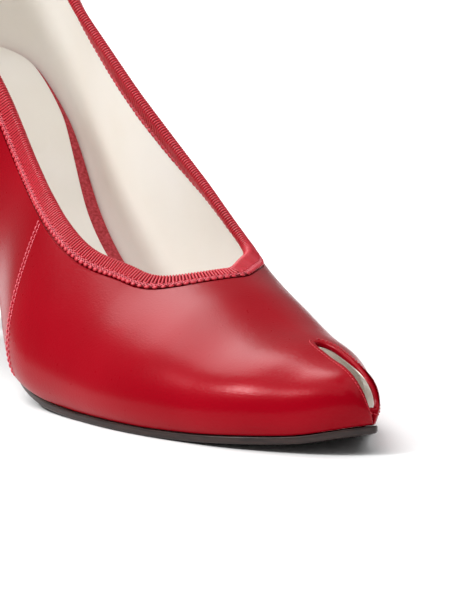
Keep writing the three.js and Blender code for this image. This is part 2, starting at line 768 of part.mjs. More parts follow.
// Materials
const redLeather = new THREE.MeshStandardMaterial({ color: 0xb5000f, roughness: 0.25, metalness: 0 });
const redRibbon = new THREE.MeshStandardMaterial({ color: 0xb01022, roughness: 0.75, metalness: 0 });
const redInsole = new THREE.MeshStandardMaterial({ color: 0xa8202a, roughness: 0.5, metalness: 0 });
const creamLeather = new THREE.MeshStandardMaterial({ color: 0xf0eee4, roughness: 0.6, metalness: 0 });
const soleLeather = new THREE.MeshStandardMaterial({ color: 0x3a2622, roughness: 0.35, metalness: 0 });
const liftRubber = new THREE.MeshStandardMaterial({ color: 0x1c1614, roughness: 0.7, metalness: 0 });

function piece(name, geometry, material) {
  const mesh = new THREE.Mesh(mergeVertices(geometry), material);
  mesh.name = name;
  return mesh;
}

const padStations = Array.from({ length: columnCount + 1 }, (_, i) => columnPlace(i).foot);
const shoe = new THREE.Group();
shoe.add(piece("upper", makeUpper(), redLeather));
shoe.add(piece("topline_binding", makeBinding(), redRibbon));
shoe.add(piece("insole", makePad(padStations, () => insoleInset, featherLevel, insoleTop), redInsole));
const sockInset = (s) => insoleInset + bareCurve(s);
shoe.add(piece("sock", makePad(padStations, sockInset, sockBottom, sockTop), creamLeather));
shoe.add(piece("outsole", makeSole(), soleLeather));
shoe.add(piece("heel", makeHeel(), redLeather));
shoe.add(piece("top_lift", makeLift(), liftRubber));

// The origin is under the middle of the whole shoe
const bounds = new THREE.Box3().setFromObject(shoe);
shoe.position.set(-(bounds.min.x + bounds.max.x) / 2, -(bounds.min.y + bounds.max.y) / 2, 0);
shoe.updateMatrixWorld(true);

export default shoe;
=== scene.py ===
# A red leather pump with a narrow open slit at the toe, its topline bound with grosgrain ribbon.
# Shapes are worked out in millimetres, +X to the toe, and put on the frame in metres.
import math
import bpy
import numpy as np
from mathutils import Matrix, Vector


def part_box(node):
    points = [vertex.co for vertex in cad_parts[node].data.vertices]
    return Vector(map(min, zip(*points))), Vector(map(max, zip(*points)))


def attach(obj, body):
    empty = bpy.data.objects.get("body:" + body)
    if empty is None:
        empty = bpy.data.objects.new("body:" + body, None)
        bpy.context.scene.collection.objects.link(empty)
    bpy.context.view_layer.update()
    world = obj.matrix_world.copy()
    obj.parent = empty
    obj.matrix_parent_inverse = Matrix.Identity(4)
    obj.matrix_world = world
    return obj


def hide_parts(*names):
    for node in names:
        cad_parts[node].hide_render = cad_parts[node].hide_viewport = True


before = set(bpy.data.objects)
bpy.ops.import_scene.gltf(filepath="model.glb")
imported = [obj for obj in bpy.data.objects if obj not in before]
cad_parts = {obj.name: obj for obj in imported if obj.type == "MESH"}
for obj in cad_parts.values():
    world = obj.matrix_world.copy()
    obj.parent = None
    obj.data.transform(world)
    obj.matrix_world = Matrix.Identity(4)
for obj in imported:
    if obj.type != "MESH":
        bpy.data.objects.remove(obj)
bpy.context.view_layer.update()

# Driving sizes of the shoe, as in the part
SHOE_LENGTH = 222.5
BALL_WIDTH = 66
SEAT_WIDTH = 53
INSTEP_HEIGHT = 60
SEAT_HEIGHT = 74
TOE_SPRING = 5.3
TREAD_FRONT = 50
TREAD_BACK = 78
TOE_RISE = 12.8
TOE_ROUND = 72
TOE_SHIFT = 1.2
SHIFT_LENGTH = 60
SEAT_ROUND = 27
THROAT_PLACE = 67.2
COLLAR_HEIGHT = 57
BACK_LEAN = 7
LEAN_LENGTH = 80
WALL = 1.8
FIT_GAP = 0.3
BULGE = 3
BULGE_HEIGHT = 10
BINDING_WIDTH = 4.8
SKIVE = 0.5
SEAM_TOP = 117
SEAM_FOOT = 107
SEAM_STEP = 0.35
SEAM_FADE = 12
SLIT_START = 4.3
SLIT_END = 25
SLIT_LIFT = 0.35
INSOLE_THICKNESS = 1.6
SOCK_THICKNESS = 0.8
SOCK_MARGIN = 4
SOLE_THICKNESS = 2
SOLE_MARGIN = 0.6
WAIST_TUCK = 3
WAIST_DOME = 1.2
BREAST_PLACE = 176
LIFT_LENGTH = 14
LIFT_WIDTH = 13
LIFT_THICKNESS = 5
LIFT_SET_FORWARD = 9

# How the last and the heel are shaped, as in the part
TOE_CROWN = 2.2
LEAN_GROWTH = 1.6
BULGE_FADE = 10
GIRTH_SHARE = 1.15
SLIT_FOOT_ROUND = 0.12
SLIT_TOP_ROUND = 0.1
BREAST_TAPER = 3.4
BACK_TAPER = 1.7
SIDE_TAPER = 2.3
LAID_GAP = 0.05  # left between pieces that lie on each other


def table(columns, *rows):
    return {name: np.array([row[i] for row in rows], float) for i, name in enumerate(columns.split())}


# The last in shares of the sizes above, by share of the length
LAST = table(
    "at outer inner arch lean",
    (0.0, 0.438, 0.12, 0.282, 0.0),
    (0.049, 0.455, 0.19, 0.281, 0.027),
    (0.098, 0.492, 0.312, 0.336, 0.024),
    (0.17, 0.519, 0.378, 0.403, 0.016),
    (0.246, 0.548, 0.407, 0.51, 0.012),
    (0.326, 0.569, 0.442, 0.602, 0.044),
    (0.397, 0.583, 0.427, 0.744, 0.106),
    (0.478, 0.573, 0.392, 0.868, 0.158),
    (0.576, 0.42, 0.302, 0.979, 0.176),
    (0.692, 0.335, 0.31, 0.95, 0.155),
)
SEAT = table(
    "at half arch lean",
    (0.812, 0.49, 1.01, 0.045),
    (0.911, 0.5, 1.18, 0.015),
    (1.0, 0.51, 1.28, 0.0),
)
# Squareness of the cross sections, 2 is an ellipse, and shares of the bulge
SECTION = table(
    "at outer inner outer_full inner_full",
    (0.0, 2.38, 2.11, 0.72, 0.57),
    (0.089, 2.28, 2.02, 0.7, 0.5),
    (0.179, 2.14, 1.99, 0.72, 0.53),
    (0.268, 1.95, 2.04, 0.75, 0.62),
    (0.357, 1.9, 2.22, 0.76, 0.75),
    (0.469, 1.95, 2.44, 0.7, 0.84),
    (0.67, 2.2, 2.63, 0.67, 0.8),
    (0.88, 2.5, 2.5, 0.45, 0.45),
    (1.0, 2.5, 2.5, 0.3, 0.3),
)
SPRING = table("along rise", (0, 1), (0.22, 0.48), (0.44, 0.28), (0.76, 0.07), (1, 0))
ARCH = table(
    "along rise",
    (0, 0), (0.075, 0.008), (0.2, 0.061), (0.35, 0.196),
    (0.527, 0.433), (0.712, 0.749), (0.863, 0.933), (1, 1),
)
COLLAR = table(
    "along outer inner",
    (0.04, 0.575, 0.62),
    (0.09, 0.597, 0.637),
    (0.18, 0.633, 0.755),
    (0.3, 0.689, 0.872),
    (0.44, 0.691, 0.95),
    (0.6, 0.742, 0.96),
    (0.76, 0.81, 0.95),
    (0.88, 0.893, 0.95),
    (1.0, 1.0, 1.0),
)
# Half widths of the toe slit in millimetres, by the root of the share of its length
SLIT = table(
    "root outer inner",
    (0.0, 0.35, 0.8),
    (0.2, 1.18, 1.76),
    (0.4, 2.17, 2.57),
    (0.6, 2.27, 2.96),
    (0.8, 1.79, 2.6),
    (1.0, 1.12, 1.57),
)
# Width of insole left bare beside the sock, in shares of the sock's margin
SOCK_BARE = table(
    "at bare",
    (0, 0.5), (0.3, 1), (0.5, 1.05), (0.66, 1.1), (0.76, 0.75), (0.82, 0.4), (0.91, 0.22), (1, 0.2),
)
# How far the sole's edge is tucked in, in shares of the waist's tuck
TUCK = table("at tuck", (0, 0), (0.36, 0), (0.47, 0.55), (0.6, 1), (0.72, 0.8), (0.79, 0.4), (1, 0.3))


def smooth_curve(xs, ys):
    """Smooth curve through points, with straight second derivatives between them."""
    n = len(xs)
    bend = np.zeros(n)
    pull = np.zeros(n)
    for i in range(1, n - 1):
        share = (xs[i] - xs[i - 1]) / (xs[i + 1] - xs[i - 1])
        p = share * bend[i - 1] + 2
        rise = (ys[i + 1] - ys[i]) / (xs[i + 1] - xs[i]) - (ys[i] - ys[i - 1]) / (xs[i] - xs[i - 1])
        bend[i] = (share - 1) / p
        pull[i] = (6 * rise / (xs[i + 1] - xs[i - 1]) - share * pull[i - 1]) / p
    for i in range(n - 2, 0, -1):
        bend[i] = bend[i] * bend[i + 1] + pull[i]
    bend[0] = 0

    def curve(x):
        x = np.asarray(x, float)
        i = np.clip(np.searchsorted(xs, x) - 1, 0, n - 2)
        step = xs[i + 1] - xs[i]
        a = (xs[i + 1] - x) / step
        b = 1 - a
        cubic = (a**3 - a) * bend[i] + (b**3 - b) * bend[i + 1]
        return a * ys[i] + b * ys[i + 1] + cubic * step * step / 6

    return curve


def steady_curve(xs, ys):
    """Curve through points that never overshoots them."""
    n = len(xs)
    slope = np.diff(ys) / np.diff(xs)
    tangent = np.zeros(n)
    tangent[0], tangent[-1] = slope[0], slope[-1]
    for i in range(1, n - 1):
        before, after = slope[i - 1], slope[i]
        if before * after > 0:
            a = 2 * (xs[i + 1] - xs[i]) + (xs[i] - xs[i - 1])
            b = xs[i + 1] - xs[i] + 2 * (xs[i] - xs[i - 1])
            tangent[i] = (a + b) / (a / before + b / after)

    def curve(x):
        x = np.asarray(x, float)
        i = np.clip(np.searchsorted(xs, x) - 1, 0, n - 2)
        step = xs[i + 1] - xs[i]
        t = (x - xs[i]) / step
        start = (1 + 2 * t) * (1 - t) ** 2 * ys[i] + t * (1 - t) ** 2 * step * tangent[i]
        return start + t * t * (3 - 2 * t) * ys[i + 1] + t * t * (t - 1) * step * tangent[i + 1]

    return curve


def round_off(distance, length, power=2.0):
    """Quarter of a rounded corner: 0 at its start, 1 from its full length on."""
    left = np.clip(1 - distance / length, 0, 1)
    return (1 - left**power) ** (1 / power)


def spread(*values):
    """Numbers and arrays brought to one shape."""
    return np.broadcast_arrays(*(np.asarray(value, float) for value in values))


def by_side(side, outer, inner):
    return np.where(np.asarray(side) < 0, outer, inner)


# Outline, arch and squareness of the last behind the toe tip, side is -1 for outer and 1 for inner
last_places = np.concatenate([LAST["at"], SEAT["at"]]) * SHOE_LENGTH
seat_halves = SEAT["half"] * SEAT_WIDTH
outer_curve = smooth_curve(last_places, np.concatenate([LAST["outer"] * BALL_WIDTH, seat_halves]))
inner_curve = smooth_curve(last_places, np.concatenate([LAST["inner"] * BALL_WIDTH, seat_halves]))
arch_curve = smooth_curve(last_places, np.concatenate([LAST["arch"], SEAT["arch"]]) * INSTEP_HEIGHT)
lean_curve = smooth_curve(last_places, np.concatenate([LAST["lean"], SEAT["lean"]]) * BALL_WIDTH)
section_places = SECTION["at"] * SHOE_LENGTH
outer_square = smooth_curve(section_places, SECTION["outer"])
inner_square = smooth_curve(section_places, SECTION["inner"])
outer_full = smooth_curve(section_places, SECTION["outer_full"])
inner_full = smooth_curve(section_places, SECTION["inner_full"])
spring_curve = steady_curve(SPRING["along"] * TREAD_FRONT, SPRING["rise"] * TOE_SPRING)
waist_places = TREAD_BACK + ARCH["along"] * (SHOE_LENGTH - TREAD_BACK)
rise_curve = steady_curve(waist_places, ARCH["rise"] * SEAT_HEIGHT)


def half_width(s, side):
    ends = round_off(s, TOE_ROUND) * round_off(SHOE_LENGTH - s, SEAT_ROUND)
    return by_side(side, outer_curve(s), inner_curve(s)) * ends


def arch_height(s):
    return arch_curve(s) * round_off(s, TOE_RISE, TOE_CROWN)


def middle_line(s):
    return TOE_SHIFT * np.clip(1 - s / SHIFT_LENGTH, 0, 1) ** 2


def ridge_offset(s):
    return lean_curve(s) * round_off(s, TOE_ROUND)


def squareness(s, side):
    return by_side(side, outer_square(s), inner_square(s))


def sole_underside(s):
    s = np.asarray(s, float)
    front = spring_curve(np.minimum(s, TREAD_FRONT))
    back = rise_curve(np.clip(s, TREAD_BACK, SHOE_LENGTH + SEAT_ROUND))
    return np.where(s < TREAD_FRONT, front, np.where(s > TREAD_BACK, back, 0))


def sole_top(s):
    return sole_underside(s) + SOLE_THICKNESS


def feather_level(s):
    return sole_top(s) + FIT_GAP


collar_length = SHOE_LENGTH - THROAT_PLACE
collar_places = np.concatenate([[THROAT_PLACE], THROAT_PLACE + COLLAR["along"] * collar_length])
throat_arch = arch_height(THROAT_PLACE)
outer_collar = smooth_curve(collar_places, np.concatenate([[throat_arch], COLLAR["outer"] * COLLAR_HEIGHT]))
inner_collar = smooth_curve(collar_places, np.concatenate([[throat_arch], COLLAR["inner"] * COLLAR_HEIGHT]))


def collar_angle(s, side):
    height = by_side(side, outer_collar(s), inner_collar(s))
    return np.arcsin(np.clip(height / arch_height(s), 0, 1) ** (squareness(s, side) / 2))


def plan_normal(s, side):
    """Direction that points out of the feather edge in plan."""
    s = np.asarray(s, float)
    near = np.maximum(s - 0.01, 0)
    far = np.minimum(s + 0.01, SHOE_LENGTH)
    slope = (half_width(far, side) - half_width(near, side)) / (far - near)
    slope = slope + side * (middle_line(far) - middle_line(near)) / (far - near)
    size = np.hypot(slope, 1)
    ends = (s <= 0) | (s >= SHOE_LENGTH)
    out_x = np.where(ends, np.where(s <= 0, 1, -1), slope / size)
    return out_x, np.where(ends, 0, side / size)


def last_point(s, angle, side):
    """Point of the last: angle 0 is the feather edge and a right angle is the ridge."""
    s, angle, side = spread(s, angle, side)
    power = 2 / squareness(s, side)
    reach = np.maximum(np.cos(angle), 0) ** power
    height = arch_height(s) * np.maximum(np.sin(angle), 0) ** power
    middle = ridge_offset(s)
    full = by_side(side, outer_full(s), inner_full(s)) * (1 - np.sin(angle) ** BULGE_FADE)
    swell = BULGE * full * (height / BULGE_HEIGHT) * np.exp(1 - height / BULGE_HEIGHT)
    out_x, out_y = plan_normal(s, side)
    across = middle_line(s) + middle + (side * half_width(s, side) - middle) * reach
    lean_at = np.clip(1 - (SHOE_LENGTH - s) / LEAN_LENGTH, 0, 1) ** 2
    lean = BACK_LEAN * lean_at * (height / COLLAR_HEIGHT) ** LEAN_GROWTH
    return np.stack([out_x * swell - s + lean, across + out_y * swell, feather_level(s) + height], -1)


def unit(vectors):
    return vectors / np.maximum(np.linalg.norm(vectors, axis=-1, keepdims=True), 1e-12)


def last_normal(s, angle, side):
    """Direction that points out of the last there."""
    s, angle, side = spread(s, angle, side)
    along = np.clip(s, 0.05, SHOE_LENGTH - 0.05)
    turn = np.clip(angle, 0.004, np.pi / 2 - 0.004)
    back = last_point(along + 0.04, turn, side) - last_point(along - 0.04, turn, side)
    up = last_point(along, turn + 0.003, side) - last_point(along, turn - 0.003, side)
    return unit(np.cross(back, up)) * by_side(side, -1, 1)[..., None]


def feather_edge(s, side, inset, level):
    """Point of the feather edge moved in by a distance, on the level that the sole gives it there."""
    s = np.asarray(s, float)
    out_x, out_y = plan_normal(s, side)
    x = -s - out_x * inset
    y = side * half_width(s, side) + middle_line(s) - out_y * inset
    y = np.where(side * (y - middle_line(s)) < 0, middle_line(s), y)
    return np.stack([x, y, level(-x)], -1)


# Places of the upper's columns, from the toe's middle line to the heel's, with the side seam half way
def ease(share):
    return (1 - np.cos(np.pi * share)) / 2


feather_share = steady_curve(np.array([0, 0.5, 1]), np.array([0, SEAM_FOOT / SHOE_LENGTH, 1]))
seam_share = (SEAM_TOP - THROAT_PLACE) / collar_length
collar_share = steady_curve(np.array([0, 0.5, 1]), np.array([0, seam_share, 1]))


def column_place(t):
    share = ease(t)
    return SHOE_LENGTH * feather_share(share), THROAT_PLACE + collar_length * collar_share(share)


def half_girth(s, side):
    return GIRTH_SHARE * np.hypot(half_width(s, side), arch_height(s))


def angle_off_ridge(s, side, across):
    """Angle at which the last lies so far across from its ridge, measured along its girth."""
    return np.pi / 2 * (1 - across / np.maximum(half_girth(s, side), 1e-9))


# The toe slit as a closed curve on the last, measured along the ridge and off it
LIP = 0.9  # the leather is folded round a lip of this radius
SLIT_SPREAD = 9  # the columns give way to the slit over this width
TOE_CROWDING = 0.25  # up to this column the rows crowd towards the toe tip
ridge_s = np.linspace(0, 1, 3000) ** 2 * 45
ridge_line = (last_point(ridge_s, np.pi / 2, -1) + last_point(ridge_s, np.pi / 2, 1)) / 2
ridge_length = np.concatenate([[0], np.cumsum(np.linalg.norm(np.diff(ridge_line, axis=0), axis=1))])
slit_foot = ridge_s[np.searchsorted(arch_height(ridge_s), SLIT_START)]


def slit_outline(side, grow, count):
    """Places and half widths of the slit's edge, moved out by a distance."""
    root = ease(np.linspace(0, 1, 400))
    s = slit_foot + (SLIT_END - slit_foot) * root**2
    shares = smooth_curve(SLIT["root"], by_side(side, SLIT["outer"], SLIT["inner"]))
    width = shares(root) * round_off(root, SLIT_FOOT_ROUND) * round_off(1 - root, SLIT_TOP_ROUND)
    half = np.maximum(np.abs(side * half_width(s, side) - ridge_offset(s)), 1e-6)
    power = squareness(s, side) / 2
    by_width = np.arcsin(np.clip(width / half, 0, 1) ** power)
    arch = arch_height(s)
    floor_height = SLIT_START + SLIT_LIFT * (arch - SLIT_START)
    by_height = np.arccos(np.clip(floor_height / arch, 0, 1) ** power)
    turn = (np.maximum(by_width, 1e-6) ** -4 + np.maximum(by_height, 1e-6) ** -4) ** -0.25
    line = np.stack([np.interp(s, ridge_s, ridge_length), half_girth(s, side) * turn / (np.pi / 2)], -1)
    step = unit(np.gradient(line, axis=0))
    step[0], step[-1] = (0, 1), (0, -1)
    line = line + grow * np.stack([-step[:, 1], step[:, 0]], -1)
    line[0, 1] = line[-1, 1] = 0
    run = np.concatenate([[0], np.cumsum(np.linalg.norm(np.diff(line, axis=0), axis=1))])
    spots = np.linspace(0, run[-1], count)
    along = np.interp(spots, run, line[:, 0])
    return np.interp(along, ridge_length, ridge_s), np.interp(spots, run, line[:, 1])


slit_rim = {side: slit_outline(side, LIP, 400) for side in (-1, 1)}


def slit_gap(s, side):
    """Part of the girth that the slit takes on that side of the ridge."""
    return np.interp(s, *slit_rim[side], left=0, right=0)


def pattern_point(t, v, side):
    """Place on the last of a column's point: v is 0 at the feather edge and 1 at the collar."""
    t, v = spread(t, v)
    foot, top = column_place(t)
    hurry = 1 + np.clip(1 - t / TOE_CROWDING, 0, 1)
    s = foot + (top - foot) * v**hurry
    start = half_girth(foot, side)
    end = half_girth(top, side) * (1 - collar_angle(top, side) / (np.pi / 2))
    girth = half_girth(s, side)
    across = np.where(t == 0, 0, np.minimum(start + (end - start) * v, girth))
    opened = across + slit_gap(s, side) * np.clip(1 - across / SLIT_SPREAD, 0, 1) ** 2
    angle = np.where(girth > 0, np.pi / 2 * (1 - opened / np.maximum(girth, 1e-9)), 0)
    return s, np.clip(angle, 0, np.pi / 2), across


def surface(t, v, side):
    """Points of the last and the directions out of it, shared by both sides on the middle lines."""
    t, v = spread(t, v)
    both = {}
    for which in (-1, 1):
        s, angle, _ = pattern_point(t, v, which)
        both[which] = last_point(s, angle, which), last_normal(s, angle, which), s
    rim_s = slit_rim[side][0]
    in_slit = (both[side][2] > rim_s[0] + 1e-6) & (both[side][2] < rim_s[-1] - 1e-6)
    shared = ((t == 1) | ((t == 0) & ~in_slit))[..., None]
    points = np.where(shared, (both[-1][0] + both[1][0]) / 2, both[side][0])
    normals = np.where(shared, unit(both[-1][1] + both[1][1]), both[side][1])
    points[..., 1] = np.where(t == 1, 0, points[..., 1])
    normals[..., 1] = np.where(t == 1, 0, normals[..., 1])
    return points, unit(normals)


def segment_distance(points, line):
    """Distance of each point from a line of corners."""
    start, step = line[:-1], np.diff(line, axis=0)
    length = np.maximum((step**2).sum(-1), 1e-12)
    share = np.clip(((points[:, None] - start) * step).sum(-1) / length, 0, 1)
    return np.linalg.norm(points[:, None] - start - share[..., None] * step, axis=-1).min(-1)


def share_below_collar(t, distance, side):
    """Share of each column that lies a given distance below the collar."""
    line = surface(np.linspace(0, 1, 260), 1.0, side)[0]
    low = np.full(len(t), 0.5)
    high = np.ones(len(t))
    for _ in range(18):
        middle = (low + high) / 2
        far = segment_distance(surface(t, middle, side)[0], line) > distance
        low = np.where(far, middle, low)
        high = np.where(far, high, middle)
    return (low + high) / 2


# Where the shoe stands in the frame: the top lift lies on its middle line and the sole's tip leads it
lift_low, lift_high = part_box("top_lift")
sole_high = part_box("outsole")[1]
SHIFT = np.array([sole_high[0] * 1000 - SOLE_MARGIN, (lift_low[1] + lift_high[1]) * 500, 0])


def put(points):
    return (np.asarray(points, float) + SHIFT) * 0.001


# Colours and materials
def hex_colour(code):
    """sRGB hex turned to linear red, green, blue and alpha."""
    parts = [int(code[i : i + 2], 16) / 255 for i in (0, 2, 4)]
    return [p / 12.92 if p <= 0.04045 else ((p + 0.055) / 1.055) ** 2.4 for p in parts] + [1.0]


def node(tree, kind, inputs=None, **settings):
    """Adds a node with its settings; an input is a value or the socket that feeds it."""
    made = tree.nodes.new(kind)
    for name, value in settings.items():
        setattr(made, name, value)
    for name, value in (inputs or {}).items():
        if isinstance(value, bpy.types.NodeSocket):
            tree.links.new(value, made.inputs[name])
        else:
            made.inputs[name].default_value = value
    return made


def ramp(tree, factor, *stops):
    """Colour ramp through (place, hex) stops."""
    made = node(tree, "ShaderNodeValToRGB", {"Fac": factor})
    line = made.color_ramp.elements
    while len(line) < len(stops):
        line.new(0.5)
    for element, (place, code) in zip(line, stops):
        element.position = place
        element.color = hex_colour(code)
    return made.outputs["Color"]


def material(name, build, shader):
    """A Principled material; build adds its nodes and returns what feeds the shader's sockets."""
    made = bpy.data.materials.new(name)
    made.use_nodes = True
    tree = made.node_tree
    principled = tree.nodes["Principled BSDF"]
    for socket, value in shader.items():
        principled.inputs[socket].default_value = value
    place = node(tree, "ShaderNodeTexCoord").outputs["Object"]
    for socket, source in build(tree, place).items():
        tree.links.new(source, principled.inputs[socket])
    return made


def mm(size):
    """Texture scale whose features come every given number of millimetres."""
    return 1000 / size


def grain(tree, place, size, strength, height):
    """Pebble grain of a tanned skin: cells with rounded tops, broken up by finer noise."""
    wobble = node(tree, "ShaderNodeTexNoise", {"Vector": place, "Scale": mm(size * 2), "Detail": 2})
    nudge = {"Fac": 0.0004, "Color1": place, "Color2": wobble.outputs["Color"]}
    moved = node(tree, "ShaderNodeMixRGB", nudge)
    cells = node(tree, "ShaderNodeTexVoronoi", {"Vector": moved.outputs[0], "Scale": mm(size)})
    fine = node(tree, "ShaderNodeTexNoise", {"Vector": place, "Scale": mm(size / 2), "Detail": 3})
    both = {0: cells.outputs["Distance"], 1: fine.outputs["Fac"]}
    relief = node(tree, "ShaderNodeMath", both, operation="ADD")
    values = {"Height": relief.outputs[0], "Strength": strength, "Distance": height * 0.001}
    return node(tree, "ShaderNodeBump", values).outputs["Normal"]


def red_calf(tree, place):
    slow = node(tree, "ShaderNodeTexNoise", {"Vector": place, "Scale": mm(30), "Detail": 2})
    colour = ramp(tree, slow.outputs["Fac"], (0.3, "88000f"), (0.7, "940013"))
    shine = node(tree, "ShaderNodeTexNoise", {"Vector": place, "Scale": mm(1.2), "Detail": 3})
    limits = {"Value": shine.outputs["Fac"], "To Min": 0.24, "To Max": 0.36}
    rough = node(tree, "ShaderNodeMapRange", limits)
    pebble = grain(tree, place, 0.55, 0.45, 0.04)
    return {"Base Color": colour, "Roughness": rough.outputs[0], "Normal": pebble, "Coat Normal": pebble}


def spun(dark, light):
    """Fine uneven thread between two colours."""
    def build(tree, place):
        fuzz = node(tree, "ShaderNodeTexNoise", {"Vector": place, "Scale": mm(0.5), "Detail": 3})
        colour = ramp(tree, fuzz.outputs["Fac"], (0.3, dark), (0.7, light))
        values = {"Height": fuzz.outputs["Fac"], "Strength": 0.4, "Distance": 0.00005}
        return {"Base Color": colour, "Normal": node(tree, "ShaderNodeBump", values).outputs["Normal"]}

    return build


def cream_kid(tree, place):
    slow = node(tree, "ShaderNodeTexNoise", {"Vector": place, "Scale": mm(25), "Detail": 3})
    colour = ramp(tree, slow.outputs["Fac"], (0.3, "f8f5ec"), (0.7, "fcfaf4"))
    return {"Base Color": colour, "Normal": grain(tree, place, 0.6, 0.25, 0.03)}


def red_grained(tree, place):
    speck = node(tree, "ShaderNodeTexNoise", {"Vector": place, "Scale": mm(0.9), "Detail": 3})
    colour = ramp(tree, speck.outputs["Fac"], (0.35, "a01c28"), (0.7, "cc4450"))
    return {"Base Color": colour, "Normal": grain(tree, place, 0.6, 0.5, 0.05)}


def burnished_edge(tree, place):
    turn = node(tree, "ShaderNodeMapping", {"Vector": place, "Scale": (1, 1, 6)})
    layers = node(tree, "ShaderNodeTexNoise", {"Vector": turn.outputs[0], "Scale": mm(5), "Detail": 4})
    colour = ramp(tree, layers.outputs["Fac"], (0.3, "1c100e"), (0.7, "33221e"))
    values = {"Height": layers.outputs["Fac"], "Strength": 0.15, "Distance": 0.00005}
    return {"Base Color": colour, "Normal": node(tree, "ShaderNodeBump", values).outputs["Normal"]}


def moulded_rubber(tree, place):
    speck = node(tree, "ShaderNodeTexNoise", {"Vector": place, "Scale": mm(0.7), "Detail": 3})
    colour = ramp(tree, speck.outputs["Fac"], (0.3, "191413"), (0.7, "241d1b"))
    values = {"Height": speck.outputs["Fac"], "Strength": 0.3, "Distance": 0.00005}
    return {"Base Color": colour, "Normal": node(tree, "ShaderNodeBump", values).outputs["Normal"]}


# Polished calf, dyed through and glazed: saturated red with a clear gloss over a fine pebble
calf = material("polished_red_calf", red_calf, {
    "Specular IOR Level": 0.2, "Specular Tint": hex_colour("ff5060"),
    "Coat Weight": 0.14, "Coat Roughness": 0.18, "Coat IOR": 1.45,
})
# Viscose cords of the ribbon: clear red with a soft pinkish gloss along each
ribbon = material("grosgrain_ribbon", spun("b00418", "cc1230"), {
    "Roughness": 0.38, "Specular IOR Level": 0.6, "Sheen Weight": 0.15, "Sheen Tint": hex_colour("ff8090"),
})
# The ribbon's woven ground under the cords: dull, and coloured dark as painted shade of the gaps between
# the cords
gap_shade = material("ribbon_ground_painted_shade", spun("50000a", "6e0410"), {
    "Roughness": 0.8, "Specular IOR Level": 0.2,
})
# Twisted polyester sewing thread: paler than the leather, and it catches the light
thread = material("polyester_sewing_thread", spun("d03c4c", "ec7884"), {
    "Roughness": 0.45, "Specular IOR Level": 0.5,
})
# Cream kid lining and sock: matte, slightly mottled skin
kid = material("cream_kid_lining", cream_kid, {"Roughness": 0.55, "Specular IOR Level": 0.3})
# Grained red leather of the insole's bare edge: matte pebble, lighter in fine specks at random
grained = material("grained_red_insole", red_grained, {"Roughness": 0.55, "Specular IOR Level": 0.35})
# Sole leather, stained dark and burnished on its edge: a low wax gloss along pressed layers
burnished = material("burnished_sole_leather", burnished_edge, {
    "Roughness": 0.4, "Specular IOR Level": 0.3, "Coat Weight": 0.12, "Coat Roughness": 0.25,
})
# Moulded rubber of the top lift: nearly black and dull
rubber = material("moulded_rubber", moulded_rubber, {"Roughness": 0.7})


# Skins made of sheets of points; equal corners are joined, so that each is closed
class Skin:
    def __init__(self):
        self.points = []
        self.faces = []
        self.finishes = []
        self.count = 0

    def sheet(self, grid, flip=False, closed=False, finish=0):
        """Adds a grid of points, closed round each row when asked."""
        rows, columns = grid.shape[:2]
        ids = self.count + np.arange(rows * columns).reshape(rows, columns)
        if closed:
            ids = np.concatenate([ids, ids[:, :1]], 1)
        quads = np.stack([ids[:-1, :-1], ids[:-1, 1:], ids[1:, 1:], ids[1:, :-1]], -1).reshape(-1, 4)
        if flip:
            quads = quads[:, ::-1]
        self.points.append(grid.reshape(-1, 3))
        self.faces.append(quads)
        self.finishes.append(np.full(len(quads), finish))
        self.count += rows * columns

    def piece(self, name, materials, sharp):
        points = np.concatenate(self.points)
        keys = np.round(points * 1000).astype(np.int64)
        _, first, same = np.unique(keys, axis=0, return_index=True, return_inverse=True)
        quads = same.reshape(-1)[np.concatenate(self.faces)]
        finishes = np.concatenate(self.finishes)
        faces, kept = [], []
        for quad, finish in zip(quads.tolist(), finishes.tolist()):
            ring = [p for i, p in enumerate(quad) if p != quad[i - 1]]
            if len(set(ring)) == len(ring) > 2:
                faces.append(ring)
                kept.append(finish)
        return make_mesh(name, put(points[first]), faces, materials, kept, sharp)


def make_mesh(name, points, faces, materials, finishes, sharp):
    mesh = bpy.data.meshes.new(name)
    mesh.from_pydata(points.tolist(), [], faces)
    for one in materials:
        mesh.materials.append(one)
    mesh.polygons.foreach_set("material_index", finishes)
    mesh.polygons.foreach_set("use_smooth", [True] * len(mesh.polygons))
    mesh.set_sharp_from_angle(angle=math.radians(sharp))
    mesh.update()
    made = bpy.data.objects.new(name, mesh)
    bpy.context.scene.collection.objects.link(made)
    return made


def finish_piece(made, node_name=None):
    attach(made, "root")
    if node_name:
        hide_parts(node_name)


# The upper: outer leather, folded slit lips and lining in one closed shell
SIDE_COLUMNS = 210
SLIT_ROWS = 46
SEAM_ROUND = 0.3  # the vamp's raw edge is rounded over this length
CREASE_DEPTH = 0.16  # the closed seam below the slit
CREASE_WIDTH = 0.3
SEAM_COLUMNS = np.array([-0.9, -0.5, -0.2, 0, 0.03, 0.08, 0.15, 0.22, 0.3, 0.5, 0.9])  # ahead of the seam
TOE_COLUMNS = np.array([0.2, 0.4, 0.6, 0.8, 1.3, 1.7])  # in steps of the first column

middle_low = share_below_collar(np.array([0.0]), BINDING_WIDTH + FIT_GAP, -1)[0]
seam_rate = sum(column_place(0.501)) / 2 - sum(column_place(0.499)) / 2


def ahead_of_seam(distance):
    """Column that lies so many millimetres ahead of the side seam."""
    return 0.5 - distance * 0.002 / seam_rate


first_t = 1 / SIDE_COLUMNS
even_ts = np.linspace(0, 1, SIDE_COLUMNS + 1)
column_ts = np.concatenate([even_ts, ahead_of_seam(SEAM_COLUMNS), TOE_COLUMNS * first_t])
column_ts = np.unique(np.round(column_ts, 7))


